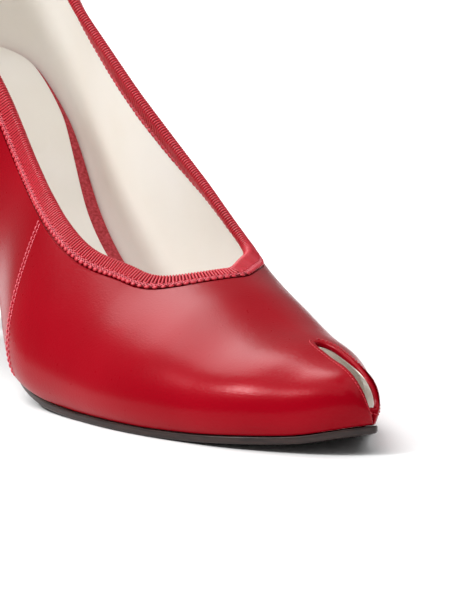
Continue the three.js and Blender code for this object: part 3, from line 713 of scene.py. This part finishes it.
def upper_rows(side):
    """Shares of the columns' rows below the binding, with the slit's rim on some of them."""
    rim_s, _ = slit_outline(side, LIP, SLIT_ROWS)
    at_rim = np.sqrt(rim_s / THROAT_PLACE) / middle_low
    foot = at_rim[0] * np.array([0, 0.12, 0.3, 0.5, 0.75])
    top = at_rim[-1] + (1 - at_rim[-1]) * np.linspace(0, 1, 17)[1:]
    return np.concatenate([foot, at_rim, top]), len(foot)


def seam_proud(t):
    """How proud the vamp stands of the quarter along the side seam."""
    ahead = (sum(column_place(0.5)) - sum(column_place(t))) / 2
    edge = round_off(np.maximum(ahead, 0), SEAM_ROUND)
    return SEAM_STEP * np.clip(1 - ahead / SEAM_FADE, 0, 1) * np.where(ahead > 0, edge, 0)


def make_upper():
    skin = Skin()
    for side in (-1, 1):
        rows, rim = upper_rows(side)
        low = share_below_collar(column_ts, BINDING_WIDTH + FIT_GAP, side)
        if side > 0:
            ends = share_below_collar(np.array([0.0, 1.0]), BINDING_WIDTH + FIT_GAP, -1)
            low[0], low[-1] = ends
        t = column_ts[:, None]
        v = rows[None, :] * low[:, None]
        points, normals = surface(t, v, side)
        s, _, across = pattern_point(t + 0 * v, v, side)
        proud = seam_proud(t) + 0 * v
        crease = CREASE_DEPTH * np.exp(-((across / CREASE_WIDTH) ** 2))
        proud = proud - crease * (s < slit_rim[side][0][0]) * (v > 0)
        outer = points + normals * proud[..., None]
        inner = points - normals * WALL
        foot = column_place(column_ts)[0]
        outer[:, 0] = feather_edge(foot, side, -seam_proud(column_ts), feather_level)
        inner[:, 0] = feather_edge(foot, side, WALL, feather_level)
        for edge, middle_y in ((0, middle_line(0.0)), (-1, 0.0)):
            outer[edge, 0, 1] = inner[edge, 0, 1] = middle_y
        zone_v = np.stack([low, (low + 1) / 2, np.ones_like(low)], 1)
        zone, zone_normals = surface(t, zone_v, side)
        outer = np.concatenate([outer, zone - zone_normals * SKIVE], 1)
        inner = np.concatenate([inner, zone - zone_normals * (WALL - SKIVE)], 1)
        skin.sheet(outer, flip=side > 0, finish=0)
        skin.sheet(inner, flip=side < 0, finish=1)
        skin.sheet(np.stack([outer[:, 0], inner[:, 0]]), flip=side > 0, finish=1)
        skin.sheet(np.stack([outer[:, -1], inner[:, -1]]), flip=side < 0, finish=0)
        # folded lips: from the outer rim round to the inner one
        rim_rows = slice(rim, rim + SLIT_ROWS)
        rim_points, rim_normals = points[0, rim_rows], normals[0, rim_rows]
        edge_s, edge_width = slit_outline(side, 0, SLIT_ROWS)
        edge_points = last_point(edge_s, angle_off_ridge(edge_s, side, edge_width), side)
        toward = edge_points - rim_points
        toward -= (toward * rim_normals).sum(-1, keepdims=True) * rim_normals
        if side < 0:
            shared_ends = toward[[0, -1]]
        toward[[0, -1]] = shared_ends
        toward = unit(toward)
        centre = rim_points - rim_normals * WALL / 2
        turns = np.linspace(np.pi / 2, -np.pi / 2, 9)[:, None, None]
        lips = centre + LIP * np.cos(turns) * toward + WALL / 2 * np.sin(turns) * rim_normals
        lips[0], lips[-1] = outer[0, rim_rows], inner[0, rim_rows]
        skin.sheet(lips[:7], flip=side < 0, finish=0)
        skin.sheet(lips[6:], flip=side < 0, finish=1)
    return skin.piece("upper_leather", [calf, kid], sharp=50)


upper = make_upper()
finish_piece(upper, "upper")


# The collar as a closed loop with square lines down the surface from it
LOOP_COUNT = 800
DEPTHS = np.linspace(0, 6, 13)


def wrapped(root, reach, side):
    """Place on the last from signed shares that may cross the ridge or the line up the heel."""
    s = SHOE_LENGTH - root**2
    there = np.where((root < 0) ^ (reach < 0), -side, side)
    angle = np.arccos(np.clip(np.abs(reach), 0, 1) ** (squareness(s, there) / 2))
    return s, angle, there


def collar_loop():
    count = 3000
    s = THROAT_PLACE + collar_length * ease(np.linspace(0, 1, count))
    roots, reaches, sides, points = [], [], [], []
    for side in (-1, 1):
        order = slice(None, None, side)
        angle = collar_angle(s, side)
        reach = np.maximum(np.cos(angle), 0) ** (2 / squareness(s, side))
        roots.append(np.sqrt(SHOE_LENGTH - s)[order])
        reaches.append(reach[order])
        points.append(last_point(s, angle, side)[order])
    line = np.concatenate(points)
    run = np.concatenate([[0], np.cumsum(np.linalg.norm(np.diff(line, axis=0), axis=1))])
    spots = np.arange(LOOP_COUNT) * run[-1] / LOOP_COUNT
    root = np.interp(spots, run, np.concatenate(roots))
    reach = np.interp(spots, run, np.concatenate(reaches))
    side = np.where(spots < run[count - 1], -1.0, 1.0)
    return root, reach, side, run[-1]


def square_lines():
    """Points and directions out, by station round the collar and depth below it."""
    root, reach, side, length = collar_loop()
    crest = last_point(*wrapped(root, reach, side))
    along = unit(np.roll(crest, -2, 0) - np.roll(crest, 2, 0))
    points, normals = [crest], [last_normal(*wrapped(root, reach, side))]
    step = DEPTHS[1] - DEPTHS[0]
    for _ in DEPTHS[1:]:
        before = points[-1]
        down = unit(np.cross(normals[-1], along))
        down *= np.where(down[:, 2:] > 0, -1, 1)
        for _ in range(6):
            here = last_point(*wrapped(root, reach, side))
            off = np.stack([((here - crest) * along).sum(-1), ((here - before) * down).sum(-1) - step], -1)
            by_root = (last_point(*wrapped(root + 1e-4, reach, side)) - here) / 1e-4
            by_reach = (last_point(*wrapped(root, reach + 1e-5, side)) - here) / 1e-5
            a, b = (by_root * along).sum(-1), (by_reach * along).sum(-1)
            c, d = (by_root * down).sum(-1), (by_reach * down).sum(-1)
            size = a * d - b * c
            root = root - np.clip((d * off[:, 0] - b * off[:, 1]) / size, -0.3, 0.3)
            reach = reach - np.clip((a * off[:, 1] - c * off[:, 0]) / size, -0.1, 0.1)
        points.append(last_point(*wrapped(root, reach, side)))
        normals.append(last_normal(*wrapped(root, reach, side)))
    return np.stack(points, 1), np.stack(normals, 1), length


collar_points, collar_normals, LOOP = square_lines()


def on_collar(run, depth, proud):
    """Point a run round the collar, a depth below it and so far proud of the surface."""
    run, depth, proud = spread(run, depth, proud)
    at = (run / LOOP % 1) * LOOP_COUNT
    i = np.floor(at).astype(int) % LOOP_COUNT
    j = np.clip((depth / DEPTHS[1]).astype(int), 0, len(DEPTHS) - 2)
    a, b = (at - np.floor(at))[..., None], (depth / DEPTHS[1] - j)[..., None]
    k = (i + 1) % LOOP_COUNT

    def blend(grid):
        here = grid[i, j] * (1 - b) + grid[i, j + 1] * b
        ahead = grid[k, j] * (1 - b) + grid[k, j + 1] * b
        return here * (1 - a) + ahead * a

    return blend(collar_points) + unit(blend(collar_normals)) * proud[..., None]


def over_crest(run, turn, proud, crown):
    """Point round the collar's edge: turn 0 is its outside and a half turn its inside."""
    run, turn = spread(run, turn)
    face = on_collar(run, 0, 0)
    out = unit(on_collar(run, 0, 1) - face)
    rise = face - on_collar(run, 0.5, 0)
    rise = unit(rise - (rise * out).sum(-1, keepdims=True) * out)
    centre = face - out * WALL / 2
    wide = (WALL / 2 + proud) * np.cos(turn)[..., None]
    return centre + out * wide + rise * (crown * np.sin(turn))[..., None]


RIBBON_FACE = 0.1  # plain face of the ribbon above the leather
RIBBON_THICKNESS = 0.45
RIBBON_CROWN = 0.6
RIB_PITCH = 0.8
RIB_RADIUS = 0.31
RIB_END = 2.7  # the ribs turn back this far below the crest
SCALLOP_DEPTH = 4.2


def make_ribbon():
    """The plain band under the ribs, folded over the collar."""
    runs = np.linspace(0, LOOP, 480, endpoint=False)
    legs = np.linspace(4.4, 0.3, 7)
    turns = np.linspace(0, np.pi, 9)
    ring = [on_collar(runs, d, RIBBON_FACE) for d in legs]
    ring += [over_crest(runs, a, RIBBON_FACE, RIBBON_CROWN) for a in turns]
    ring += [on_collar(runs, d, -WALL - RIBBON_FACE) for d in legs[::-1]]
    under = RIBBON_FACE - RIBBON_THICKNESS
    ring += [on_collar(runs, d, -WALL - under) for d in legs]
    ring += [over_crest(runs, a, under, RIBBON_CROWN - RIBBON_THICKNESS) for a in turns[::-1]]
    ring += [on_collar(runs, d, under) for d in legs[::-1]]
    grid = np.stack(ring, 1)
    grid = np.concatenate([grid, grid[:1]])
    skin = Skin()
    skin.sheet(grid, closed=True)
    # the band's dark colour is painted shade for the gaps between the ribs
    return skin.piece("ribbon_band", [gap_shade], sharp=50)


band = make_ribbon()
finish_piece(band, "topline_binding")


# Geometry Nodes: threads that follow lines, and beads that sit on points
def empty_tree(name, *named):
    """A tree that takes geometry and named inputs and gives geometry back."""
    tree = bpy.data.node_groups.new(name, "GeometryNodeTree")
    for label, kind in (("Geometry", "Geometry"), *named):
        tree.interface.new_socket(label, in_out="INPUT", socket_type="NodeSocket" + kind)
    tree.interface.new_socket("Geometry", in_out="OUTPUT", socket_type="NodeSocketGeometry")
    return tree, node(tree, "NodeGroupInput").outputs


def uneven_factor(tree, given):
    """A random factor round 1, more or less by the unevenness."""
    thin = node(tree, "ShaderNodeMath", {0: 1.0, 1: given["Unevenness"]}, operation="SUBTRACT")
    thick = node(tree, "ShaderNodeMath", {0: 1.0, 1: given["Unevenness"]}, operation="ADD")
    limits = {2: thin.outputs[0], 3: thick.outputs[0], "Seed": given["Seed"]}
    return node(tree, "FunctionNodeRandomValue", limits, data_type="FLOAT").outputs[1]


def end_tree(tree, given, made):
    """Smooth faces, real geometry and the thread's material end a tree."""
    smooth = node(tree, "GeometryNodeSetShadeSmooth", {"Geometry": made})
    whole = node(tree, "GeometryNodeRealizeInstances", {"Geometry": smooth.outputs["Geometry"]})
    inputs = {"Geometry": whole.outputs["Geometry"], "Material": given["Thread"]}
    dressed = node(tree, "GeometryNodeSetMaterial", inputs)
    node(tree, "NodeGroupOutput", {"Geometry": dressed.outputs["Geometry"]})
    return tree


def cord_tree():
    tree, given = empty_tree(
        "thread_along_lines",
        ("Thread radius", "Float"),
        ("Unevenness", "Float"),
        ("Sides", "Int"),
        ("Seed", "Int"),
        ("Thread", "Material"),
    )
    line = node(tree, "GeometryNodeMeshToCurve", {"Mesh": given["Geometry"]})
    factors = {0: given["Thread radius"], 1: uneven_factor(tree, given)}
    size = node(tree, "ShaderNodeMath", factors, operation="MULTIPLY")
    ring = node(tree, "GeometryNodeCurvePrimitiveCircle", {"Resolution": given["Sides"], "Radius": 1.0})
    inputs = {"Curve": line.outputs["Curve"], "Profile Curve": ring.outputs["Curve"], "Fill Caps": True}
    inputs["Scale"] = size.outputs[0]
    tube = node(tree, "GeometryNodeCurveToMesh", inputs)
    return end_tree(tree, given, tube.outputs["Mesh"])


def bead_tree():
    tree, given = empty_tree(
        "beads_on_points",
        ("Bead size", "Vector"),
        ("Unevenness", "Float"),
        ("Seed", "Int"),
        ("Thread", "Material"),
    )
    ball = node(tree, "GeometryNodeMeshUVSphere", {"Segments": 10, "Rings": 6, "Radius": 1.0})
    along = node(tree, "GeometryNodeInputNamedAttribute", {"Name": "along"}, data_type="FLOAT_VECTOR")
    out = node(tree, "GeometryNodeInputNamedAttribute", {"Name": "out"}, data_type="FLOAT_VECTOR")
    first = node(tree, "FunctionNodeAlignRotationToVector", {"Vector": along.outputs[0]}, axis="X")
    inputs = {"Rotation": first.outputs[0], "Vector": out.outputs[0]}
    turned = node(tree, "FunctionNodeAlignRotationToVector", inputs, axis="Z", pivot_axis="X")
    factors = {0: given["Bead size"], "Scale": uneven_factor(tree, given)}
    size = node(tree, "ShaderNodeVectorMath", factors, operation="SCALE")
    inputs = {"Points": given["Geometry"], "Instance": ball.outputs["Mesh"]}
    inputs.update({"Rotation": turned.outputs[0], "Scale": size.outputs[0]})
    beads = node(tree, "GeometryNodeInstanceOnPoints", inputs)
    return end_tree(tree, given, beads.outputs["Instances"])


def grown(name, mesh, tree, values, finish):
    """Runs a tree on a mesh and keeps the result as a plain mesh."""
    seed = bpy.data.objects.new(name + "_lines", mesh)
    bpy.context.scene.collection.objects.link(seed)
    modifier = seed.modifiers.new("grow", "NODES")
    modifier.node_group = tree
    for socket in tree.interface.items_tree:
        if socket.in_out == "INPUT" and socket.name in values:
            modifier[socket.identifier] = values[socket.name]
    deps = bpy.context.evaluated_depsgraph_get()
    made_mesh = bpy.data.meshes.new_from_object(seed.evaluated_get(deps))
    bpy.data.objects.remove(seed)
    made_mesh.name = name
    made_mesh.materials.clear()
    made_mesh.materials.append(finish)
    made = bpy.data.objects.new(name, made_mesh)
    bpy.context.scene.collection.objects.link(made)
    return made


def line_mesh(name, lines, closed=False):
    """Mesh of separate lines of points, in the frame's metres."""
    mesh = bpy.data.meshes.new(name)
    points, edges = [], []
    for line in lines:
        start = len(points)
        points += put(line).tolist()
        edges += [(start + i, start + i + 1) for i in range(len(line) - 1)]
        if closed:
            edges.append((len(points) - 1, start))
    mesh.from_pydata(points, edges, [])
    return mesh


threads = cord_tree()
beads = bead_tree()


def thread_piece(name, lines, radius, finish, sides=6, uneven=0.08, seed=1, closed=False):
    values = {"Thread radius": radius * 0.001, "Unevenness": uneven, "Sides": sides}
    values.update({"Seed": seed, "Thread": finish})
    made = grown(name, line_mesh(name, lines, closed), threads, values, finish)
    finish_piece(made)


rib_count = 2 * round(LOOP / RIB_PITCH / 2)
rib_pitch = LOOP / rib_count


def rib_lines():
    """One cord laid back and forth over the collar, turning at the foot of each rib."""
    leg = np.array([RIB_END, 1.9, 1.1, 0.4])
    turns = np.linspace(0, np.pi, 6)
    bend = np.array([[0.1, 0.3], [0.5, 0.42], [0.9, 0.3]])
    proud = RIBBON_FACE + 0.1
    line = []
    for i in range(rib_count):
        run = (i + 0.5) * rib_pitch
        outside = on_collar(run, leg, proud)
        crown = over_crest(np.full(len(turns), run), turns, proud, RIBBON_CROWN + 0.1)
        inside = on_collar(run, leg[::-1], -WALL - proud)
        rib = np.concatenate([outside, crown, inside])
        depth = proud if i % 2 else -WALL - proud
        turn_back = on_collar(run + bend[:, 0] * rib_pitch, RIB_END + bend[:, 1], depth)
        line += [rib[::-1] if i % 2 else rib, turn_back]
    return [np.concatenate(line)]


thread_piece("ribbon_ribs", rib_lines(), RIB_RADIUS, ribbon, uneven=0.05, closed=True)


def crossing_threads(inside):
    """Two zigzag threads that cross below the ribs, twice to a scallop."""
    lines = []
    for phase in (0, 1):
        steps = np.arange(rib_count * 2)
        runs = steps * rib_pitch / 2
        wave = np.abs(((steps + 2 * phase) % 4) - 2) - 1
        depth = RIB_END + 0.85 + 0.4 * wave
        proud = RIBBON_FACE + 0.16 + 0.1 * (1 - np.abs(wave)) * (1 if phase else 0.3)
        lines.append(on_collar(runs, depth, -WALL - proud if inside else proud))
    return lines


def scallops(inside):
    """Points and directions of the scalloped edge, one bead to each pair of ribs."""
    runs = (np.arange(rib_count // 2) * 2 + 1) * rib_pitch + (rib_pitch if inside else 0)
    proud = -WALL - 0.14 if inside else 0.14
    points = on_collar(runs, SCALLOP_DEPTH, proud)
    along = unit(on_collar(runs + 0.4, SCALLOP_DEPTH, proud) - on_collar(runs - 0.4, SCALLOP_DEPTH, proud))
    out = unit(on_collar(runs, SCALLOP_DEPTH, 1) - on_collar(runs, SCALLOP_DEPTH, 0))
    mesh = bpy.data.meshes.new("scallop_points")
    mesh.from_pydata(put(points).tolist(), [], [])
    for name, vectors in (("along", along), ("out", out)):
        mesh.attributes.new(name, "FLOAT_VECTOR", "POINT").data.foreach_set("vector", vectors.ravel())
    return mesh


SCALLOP_SIZE = (0.00078, 0.00056, 0.00034)

for inside in (False, True):
    where = "inside" if inside else "outside"
    crossing = crossing_threads(inside)
    thread_piece("ribbon_crossing_" + where, crossing, 0.12, thread, 5, 0.2, 3, True)
    values = {"Bead size": SCALLOP_SIZE, "Unevenness": 0.1, "Seed": 5, "Thread": ribbon}
    edge = grown("ribbon_scallops_" + where, scallops(inside), beads, values, ribbon)
    finish_piece(edge)


# Stitches that lie on the leather as short raised threads
def stitch_lines(line, normals, pitch, share=0.72, raised=0.12, sunk=0.12):
    run = np.concatenate([[0], np.cumsum(np.linalg.norm(np.diff(line, axis=0), axis=1))])
    made = []
    for i in range(int(run[-1] / pitch)):
        spots = (i + 0.5 * (1 - share) + share * np.array([0, 0.18, 0.5, 0.82, 1])) * pitch
        points = np.stack([np.interp(spots, run, line[:, k]) for k in range(3)], -1)
        out = unit(np.stack([np.interp(spots, run, normals[:, k]) for k in range(3)], -1))
        lift = np.array([-sunk, raised * 0.7, raised, raised * 0.7, -sunk])
        made.append(points + out * lift[:, None])
    return made


SEAM_ROWS = (0.45, 1.75)  # the two rows lie this far ahead of the seam
SEAM_PITCH = 1.5
SLIT_ROW = 1.5  # the row lies this far outside the slit
SLIT_PITCH = 1.2

seam_stitches = []
for side in (-1, 1):
    for ahead in SEAM_ROWS:
        t = ahead_of_seam(ahead)
        low = share_below_collar(np.array([t]), BINDING_WIDTH, side)[0]
        v = np.linspace(0.015, low, 200)
        points, normals = surface(t, v, side)
        seam_stitches += stitch_lines(points + normals * seam_proud(t), normals, SEAM_PITCH)
thread_piece("seam_stitches", seam_stitches, 0.17, thread, uneven=0.1, seed=7)

slit_stitches = []
for side in (-1, 1):
    s, width = slit_outline(side, SLIT_ROW, 300)
    angle = angle_off_ridge(s, side, width)
    slit_stitches += stitch_lines(last_point(s, angle, side), last_normal(s, angle, side), SLIT_PITCH)
thread_piece("slit_stitches", slit_stitches, 0.12, ribbon, uneven=0.1, seed=9)


# Insole and sock as pads between their edge lines
INSOLE_INSET = WALL + FIT_GAP
EDGE_ROUND = 0.25


def insole_top(s):
    return feather_level(s) + INSOLE_THICKNESS


def sock_bottom(s):
    return insole_top(s) + LAID_GAP


def sock_top(s):
    return sock_bottom(s) + SOCK_THICKNESS


bare_curve = steady_curve(SOCK_BARE["at"] * SHOE_LENGTH, SOCK_BARE["bare"] * SOCK_MARGIN)


def make_pad(name, inset, bottom, top, finish, relief=None):
    s = SHOE_LENGTH * ease(np.linspace(0, 1, 460))
    edges = {}
    for side in (-1, 1):
        line = feather_edge(s, side, inset(s), top)
        line[0, 1] = middle_line(0.0)
        line[-1, 1] = 0
        edges[side] = line
    share = ease(np.linspace(0, 1, 90))[None, :, None]
    upper_face = edges[-1][:, None] * (1 - share) + edges[1][:, None] * share
    upper_face[..., 2] = top(-upper_face[..., 0])
    rim = np.minimum(share, 1 - share)[..., 0] * np.linalg.norm(edges[1] - edges[-1], axis=1)[:, None]
    upper_face[..., 2] -= EDGE_ROUND * (1 - round_off(rim, EDGE_ROUND * 2))
    if relief:
        upper_face[..., 2] += relief(upper_face)
    lower_face = np.stack([edges[-1], edges[1]], 1)
    lower_face[..., 2] = bottom(-lower_face[..., 0])
    skin = Skin()
    skin.sheet(upper_face)
    skin.sheet(lower_face, flip=True)
    skin.sheet(np.stack([upper_face[:, 0], lower_face[:, 0]]), flip=True)
    skin.sheet(np.stack([upper_face[:, -1], lower_face[:, -1]]))
    return skin.piece(name, [finish], sharp=50)


insole = make_pad("insole_board", lambda s: INSOLE_INSET, feather_level, insole_top, grained)
finish_piece(insole, "insole")

PAD_CENTRE = (-181.8, 6.0)
PAD_RADIUS = 11.0
PAD_GROOVE = 0.3
PAD_EDGE = 0.35
PAD_TURN = 1.0  # the arc runs this far to each side of the front
PAD_FADE = 0.15


def pad_groove(face):
    """The pressed front edge of a small round pad under the sock."""
    x, y = face[..., 0] - PAD_CENTRE[0], face[..., 1] - PAD_CENTRE[1]
    off = np.hypot(x, y) - PAD_RADIUS
    turned = np.abs(np.arctan2(y, x))
    fade = np.clip((PAD_TURN - turned) / PAD_FADE, 0, 1)
    return -PAD_GROOVE * np.exp(-((off / PAD_EDGE) ** 2)) * fade


def sock_inset(s):
    return INSOLE_INSET + bare_curve(s)


sock = make_pad("sock_lining", sock_inset, sock_bottom, sock_top, kid, pad_groove)
finish_piece(sock, "sock")

# The sole: its edge outside the feather edge, tucked in at the waist
tuck_curve = steady_curve(TUCK["at"] * SHOE_LENGTH, TUCK["tuck"] * WAIST_TUCK)
# In and up from the lower outer corner: a rounded foot, a flat wall and a thin bevel on top
SOLE_EDGE = [(0.9, 0.0), (0.5, 0.05), (0.2, 0.2), (0.04, 0.45), (0.0, 0.7), (0.0, 1.0)]
SOLE_EDGE += [(0.0, 1.4), (0.02, 1.7), (0.09, 1.87), (0.25, 1.96), (0.6, SOLE_THICKNESS)]


def make_sole():
    end = BREAST_PLACE - FIT_GAP
    s = end * (1 - np.cos(np.pi / 2 * np.linspace(0, 1, 260)))
    dome_share = np.clip((s - TREAD_BACK) / (BREAST_PLACE - TREAD_BACK), 0, 1)
    dome = WAIST_DOME * np.sin(np.pi * dome_share) ** 2
    ring = []
    for side in (-1, 1):
        part = []
        for inset, height in SOLE_EDGE:
            line = feather_edge(s, side, tuck_curve(s) - SOLE_MARGIN + inset, sole_underside)
            line[:, 2] += height
            if inset < SOLE_MARGIN + 0.4:
                line[0, 1] = middle_line(0.0)
            part.append(line)
        ring.append(part)
    outer, inner = ring[0][::-1], ring[1]
    crossing = []
    for share in np.linspace(0, 1, 13)[1:-1]:
        line = outer[-1] * (1 - share) + inner[0] * share
        line[:, 2] = sole_underside(-line[:, 0]) - dome * np.sin(np.pi * share) ** 0.7
        crossing.append(line)
    grid = np.stack(outer + crossing + inner, 1)
    skin = Skin()
    skin.sheet(grid, closed=True, flip=True)
    last = grid[-1]
    middle = np.repeat(last.mean(0)[None], len(last), 0)
    skin.sheet(np.stack([last, middle]), closed=True, flip=True)
    return skin.piece("outsole_leather", [burnished], sharp=60)


sole = make_sole()
finish_piece(sole, "outsole")


# The covered heel and its top lift: rings that shrink from the seat to the floor
lift_back = -(SHOE_LENGTH - LIFT_SET_FORWARD)
lift_front = lift_back + LIFT_LENGTH
seat_half = half_width(BREAST_PLACE, 1)


def heel_ring(level):
    s = BREAST_PLACE + (SHOE_LENGTH - BREAST_PLACE) * np.sin(np.pi / 2 * np.linspace(0, 1, 60))
    breast = seat_half * np.cos(np.pi * np.linspace(0, 1, 26)[1:-1])
    outline_s = np.concatenate([s, s[-2::-1], np.full(24, float(BREAST_PLACE))])
    y = np.concatenate([-half_width(s, -1), half_width(s[-2::-1], 1), breast])
    back = (outline_s - BREAST_PLACE) / (SHOE_LENGTH - BREAST_PLACE)
    foot_x = lift_front - LIFT_LENGTH * back
    foot_y = y / seat_half * LIFT_WIDTH / 2
    foot_z = LIFT_THICKNESS + LAID_GAP
    keep_x = (1 - level) ** (BREAST_TAPER + (BACK_TAPER - BREAST_TAPER) * back)
    keep_y = (1 - level) ** SIDE_TAPER
    top_z = sole_top(outline_s)
    x = foot_x + (-outline_s - foot_x) * keep_x
    return np.stack([x, foot_y + (y - foot_y) * keep_y, top_z + (foot_z - top_z) * level], -1)


def capped_rings(grid):
    """A skin through rings, closed at both ends."""
    skin = Skin()
    skin.sheet(grid, closed=True)
    for ring, flip in ((grid[0], False), (grid[-1], True)):
        middle = np.repeat(ring.mean(0)[None], len(ring), 0)
        skin.sheet(np.stack([ring, middle]), closed=True, flip=flip)
    return skin


def make_heel():
    levels = np.concatenate([[0, 0.004, 0.012], np.linspace(0.03, 0.985, 60), [0.996, 1]])
    rings = np.stack([heel_ring(level) for level in levels])
    return capped_rings(rings).piece("heel_cover", [calf], sharp=50)


heel = make_heel()
finish_piece(heel, "heel")


# The lift's edge from its top down: how much wider than the heel's foot, and how high
LIFT_EDGE = [(0.0, LIFT_THICKNESS), (0.012, 4.8), (0.02, 4.0), (0.02, 0.4), (0.012, 0.12), (-0.02, 0.0)]


def make_lift():
    ring = heel_ring(1.0)
    middle = ring.mean(0)
    rows = []
    for grow, height in LIFT_EDGE:
        row = middle + (ring - middle) * (1 + grow)
        row[:, 2] = height
        rows.append(row)
    return capped_rings(np.stack(rows)).piece("top_lift_rubber", [rubber], sharp=40)


lift = make_lift()
finish_piece(lift, "top_lift")

# Camera: azimuth and elevation of the photograph, with its frame as a small shift
AZIMUTH = 32.943
ELEVATION = 10.302
DISTANCE = 1640.5
PIXELS_PER_MM = 3.936
PRINCIPAL = (236.93, 299.4)
AIM = (-60.0, 0.0, 30.0)
FRAME_WIDTH = 450
FRAME_HEIGHT = 600
SENSOR_HEIGHT = 36


def toward_camera():
    theta, phi = math.radians(AZIMUTH), math.radians(ELEVATION)
    return np.array([math.cos(theta) * math.cos(phi), -math.sin(theta) * math.cos(phi), math.sin(phi)])


camera_data = bpy.data.cameras.new("camera")
camera = bpy.data.objects.new("camera", camera_data)
bpy.context.scene.collection.objects.link(camera)
camera.location = put(np.array(AIM) + toward_camera() * DISTANCE)
camera.rotation_euler = (math.radians(90 - ELEVATION), 0, math.radians(90 - AZIMUTH))
camera_data.sensor_fit = "VERTICAL"
camera_data.sensor_height = SENSOR_HEIGHT
camera_data.lens = PIXELS_PER_MM * DISTANCE * SENSOR_HEIGHT / FRAME_HEIGHT
camera_data.shift_x = -(PRINCIPAL[0] - FRAME_WIDTH / 2) / FRAME_HEIGHT
camera_data.shift_y = (PRINCIPAL[1] - FRAME_HEIGHT / 2) / FRAME_HEIGHT
camera_data.clip_end = 100
bpy.context.scene.camera = camera

# Floor and light
floor_mesh = bpy.data.meshes.new("floor")
floor_mesh.from_pydata([(-8, -8, 0), (8, -8, 0), (8, 8, 0), (-8, 8, 0)], [], [(0, 1, 2, 3)])
floor = bpy.data.objects.new("floor", floor_mesh)
bpy.context.scene.collection.objects.link(floor)
paper = bpy.data.materials.new("white_paper")
paper.use_nodes = True
paper_shader = paper.node_tree.nodes["Principled BSDF"].inputs
paper_shader["Base Color"].default_value = hex_colour("fcfcfc")
paper_shader["Roughness"].default_value = 0.9
paper_shader["Specular IOR Level"].default_value = 0.1
floor_mesh.materials.append(paper)

world = bpy.data.worlds.new("studio")
bpy.context.scene.world = world
world.use_nodes = True
room = world.node_tree.nodes["Background"].inputs
room["Color"].default_value = (1, 1, 1, 1)
room["Strength"].default_value = 0.25

LIT = np.array([0.03, 0.0, 0.03])  # the lights aim at the forefoot


def softbox(name, azimuth, elevation, distance, width, height, radiance):
    """A rectangle of even light in a direction from the shoe, by the brightness of its face."""
    data = bpy.data.lights.new(name, "AREA")
    data.shape = "RECTANGLE"
    data.size, data.size_y = width, height
    data.energy = radiance * math.pi * width * height
    made = bpy.data.objects.new(name, data)
    bpy.context.scene.collection.objects.link(made)
    turn, rise = math.radians(azimuth), math.radians(elevation)
    back = np.array([math.cos(turn) * math.cos(rise), math.sin(turn) * math.cos(rise), math.sin(rise)])
    side = unit(np.cross([0, 0, 1], back))
    made.location = LIT + back * distance
    made.rotation_euler = Matrix(np.stack([side, np.cross(back, side), back], 1).tolist()).to_euler()


softbox("front_fill", -60, 65, 6.0, 5.6, 5.6, 1.5)
softbox("far_fill", 60, 60, 6.0, 4.5, 4.5, 1.2)
softbox("broad_sheen", -175, 55, 5.0, 3.4, 2.0, 7.0)
softbox("bright_strip", -103, 44, 4.0, 1.0, 0.4, 75.0)

view = bpy.context.scene.view_settings
view.view_transform = "Standard"
view.look = "None"
view.exposure = 0
view.gamma = 1
